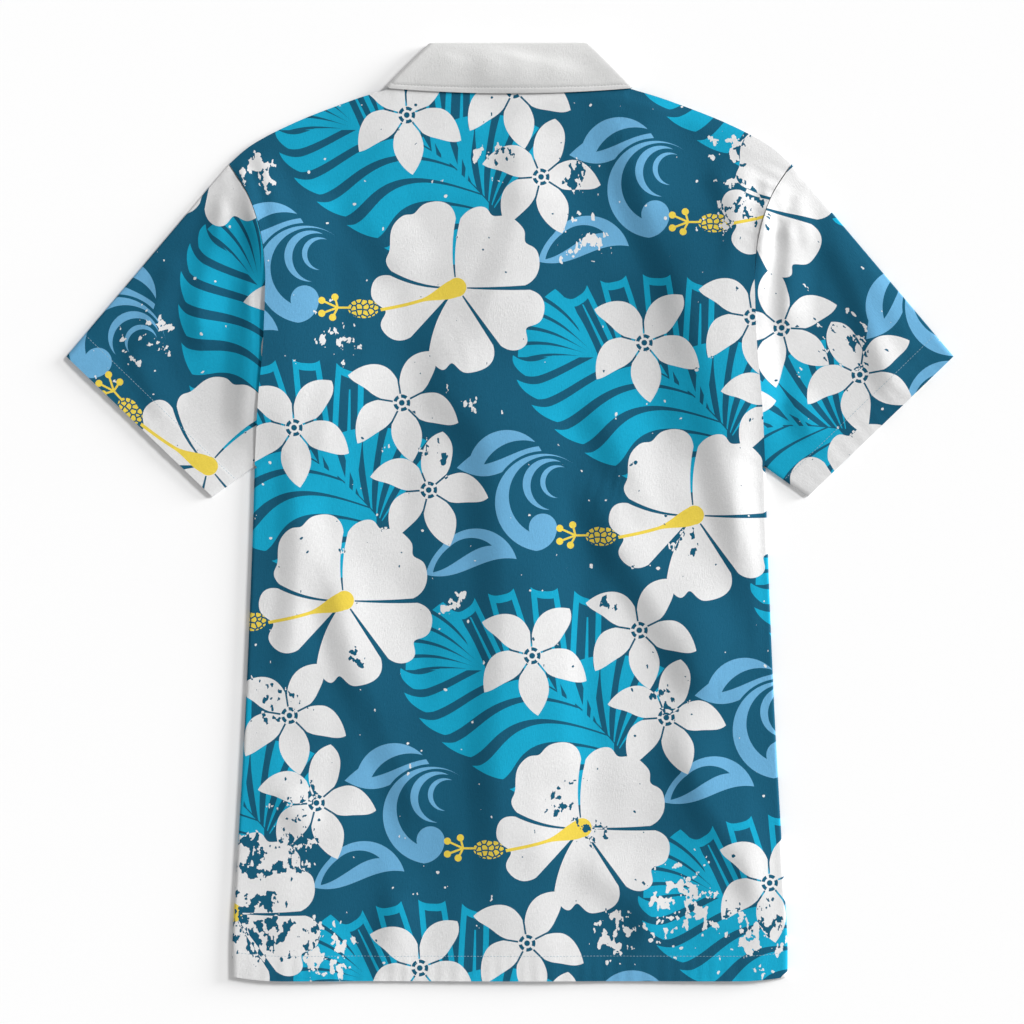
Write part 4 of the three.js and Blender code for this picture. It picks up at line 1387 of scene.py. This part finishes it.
def printed_cloth():
    material, tree, shader = new_material("printed_cloth", 0.9, specular=0.1)
    cloth = attribute(tree, "cloth").outputs["Vector"]
    flowers = hibiscus(tree, cloth)
    plumerias = [plumeria(tree, cloth, centre, turn) for centre, turn in PLUMERIAS]
    leaves = frond(tree, cloth)
    pale = scroll(tree, cloth) | slit_leaf(tree, cloth)
    colour = mixed(tree, leaves, linear(NAVY), linear(CYAN))
    colour = mixed(tree, pale, colour, linear(PALE_BLUE))
    colour = mixed(tree, flowers, colour, linear(WHITE))
    for petals, middle in plumerias:
        colour = mixed(tree, petals, colour, linear(WHITE))
        colour = mixed(tree, middle, colour, linear(NAVY))
        flowers = (flowers | petals) & ~middle
    stamen = pistil(tree, cloth)
    colour = mixed(tree, stamen, colour, linear(YELLOW))
    # worn print: white chips on the colours, dark specks on the white
    worn = Number(tree, attribute(tree, "worn").outputs["Fac"])
    chips = noise(tree, cloth, 0.078, 3.0, 0.56)
    scratches = noise(tree, vector_node(tree, "MULTIPLY", cloth, (1.0, 0.45, 1.0)), 0.21, 2.0, 0.5)
    specks = noise(tree, cloth, 0.15, 0.0) + chips * 0.3 + worn * 0.05 > 1.0
    chipped = ((chips * 0.62 + scratches * 0.38 + worn * 0.18) > 0.665) | specks
    chip_colour = mixed(tree, flowers, linear(WHITE), linear(NAVY))
    colour = mixed(tree, chipped, colour, chip_colour)
    # cloth: uneven dye, threads, and a paler inside
    slub = weave_bump(tree, shader, cloth, 0.75)
    colour = toned(tree, colour, noise(tree, cloth, 0.02, 2.0) * 0.12 + slub * 0.24 + 0.83)
    inside = parts_of(tree, cloth)[2]
    colour = mixed(tree, inside * 0.62, colour, linear(WHITE))
    tree.links.new(colour, shader.inputs["Base Color"])
    return material


def plain_cloth(name, colour, strength):
    material, tree, shader = new_material(name, 0.9, specular=0.1)
    place = place_in_mm(tree)
    slub = weave_bump(tree, shader, place, strength)
    tone = noise(tree, place, 0.03, 2.0) * 0.07 + slub * 0.13 + 0.90
    tree.links.new(toned(tree, linear(colour), tone), shader.inputs["Base Color"])
    return material


def thread_material(name, colour):
    material, tree, shader = new_material(name, 0.6, specular=0.3)
    twist = noise(tree, place_in_mm(tree), 3.0, 1.0)
    tree.links.new(toned(tree, linear(colour), twist * 0.2 + 0.88), shader.inputs["Base Color"])
    return material


def shell_material():
    """Pale pearly shell, slightly banded."""
    material, tree, shader = new_material("button_shell", 0.28, specular=0.5)
    bands = noise(tree, place_in_mm(tree, 0.3), 0.8, 3.0)
    warm, cool = linear(SHELL), linear(COOL_SHELL)
    tree.links.new(mixed(tree, bands.ramp(0.35, 0.65), warm, cool), shader.inputs["Base Color"])
    return material


def build_floor():
    material, _, shader = new_material("pale_floor", 0.9, specular=0.1)
    shader.inputs["Base Color"].default_value = linear(FLOOR)
    size = 6.0
    corners = [(-size, -size, 0), (size, -size, 0), (size, size, 0), (-size, size, 0)]
    floor = placed("floor", plain_mesh("floor", corners, [(0, 1, 2, 3)], material))
    floor.location.z = -0.2 * MM


def build_light():
    """Soft light from the upper right: a key, and a lower one that rakes over the creases."""
    world = bpy.data.worlds.new("studio")
    world.use_nodes = True
    world.node_tree.nodes["Background"].inputs[0].default_value = (1, 1, 1, 1)
    world.node_tree.nodes["Background"].inputs[1].default_value = 0.42
    bpy.context.scene.world = world
    # name, strength, size in degrees, lean towards the collar and lean to the right
    for name, energy, size, to_collar, to_right in (("key", 1.9, 14, 24, 48), ("rake", 3.6, 20, 18, 79)):
        data = bpy.data.lights.new(name, "SUN")
        data.energy = energy
        data.angle = math.radians(size)
        placed(name, data).rotation_euler = (math.radians(-to_collar), math.radians(to_right), 0)


def build_camera():
    data = bpy.data.cameras.new("camera")
    data.lens = 100
    data.sensor_width = 36
    data.clip_end = 100
    width_seen = 1024 * 0.88 * MM
    camera = placed("camera", data)
    camera.location = (1.8 * MM, -0.9 * MM, width_seen * data.lens / data.sensor_width)
    bpy.context.scene.camera = camera
    bpy.context.scene.view_settings.view_transform = "Standard"


build_camera()
build_light()
build_floor()

printed = printed_cloth()
collar_material = plain_cloth("collar_cloth", COLLAR, 0.7)
# the collar's stitches: white thread with painted shade, darker than the cloth they sit in
white_thread_with_painted_shade = thread_material("white_thread_with_painted_shade", THREAD_WITH_PAINTED_SHADE)
print_thread = thread_material("blue_thread", PRINT_THREAD)
back, back_area = back_piece(printed)
fronts = {side: front_piece(side, printed) for side in (-1, 1)}
sleeves = {side: sleeve_piece(side, printed) for side in (-1, 1)}
(fall, fall_area), (stand, stand_area) = collar_pieces(collar_material)
front_pieces = {side: piece for side, (piece, _) in fronts.items()}
sleeve_pieces = {side: piece for side, (piece, _) in sleeves.items()}
hem_stitches = sew_hems(back, front_pieces, sleeve_pieces, print_thread)
collar_stitches = sew_collar(fall, white_thread_with_painted_shade)
front_stitches = sew_front(front_pieces[-1], print_thread)

for button in buttons(shell_material()):
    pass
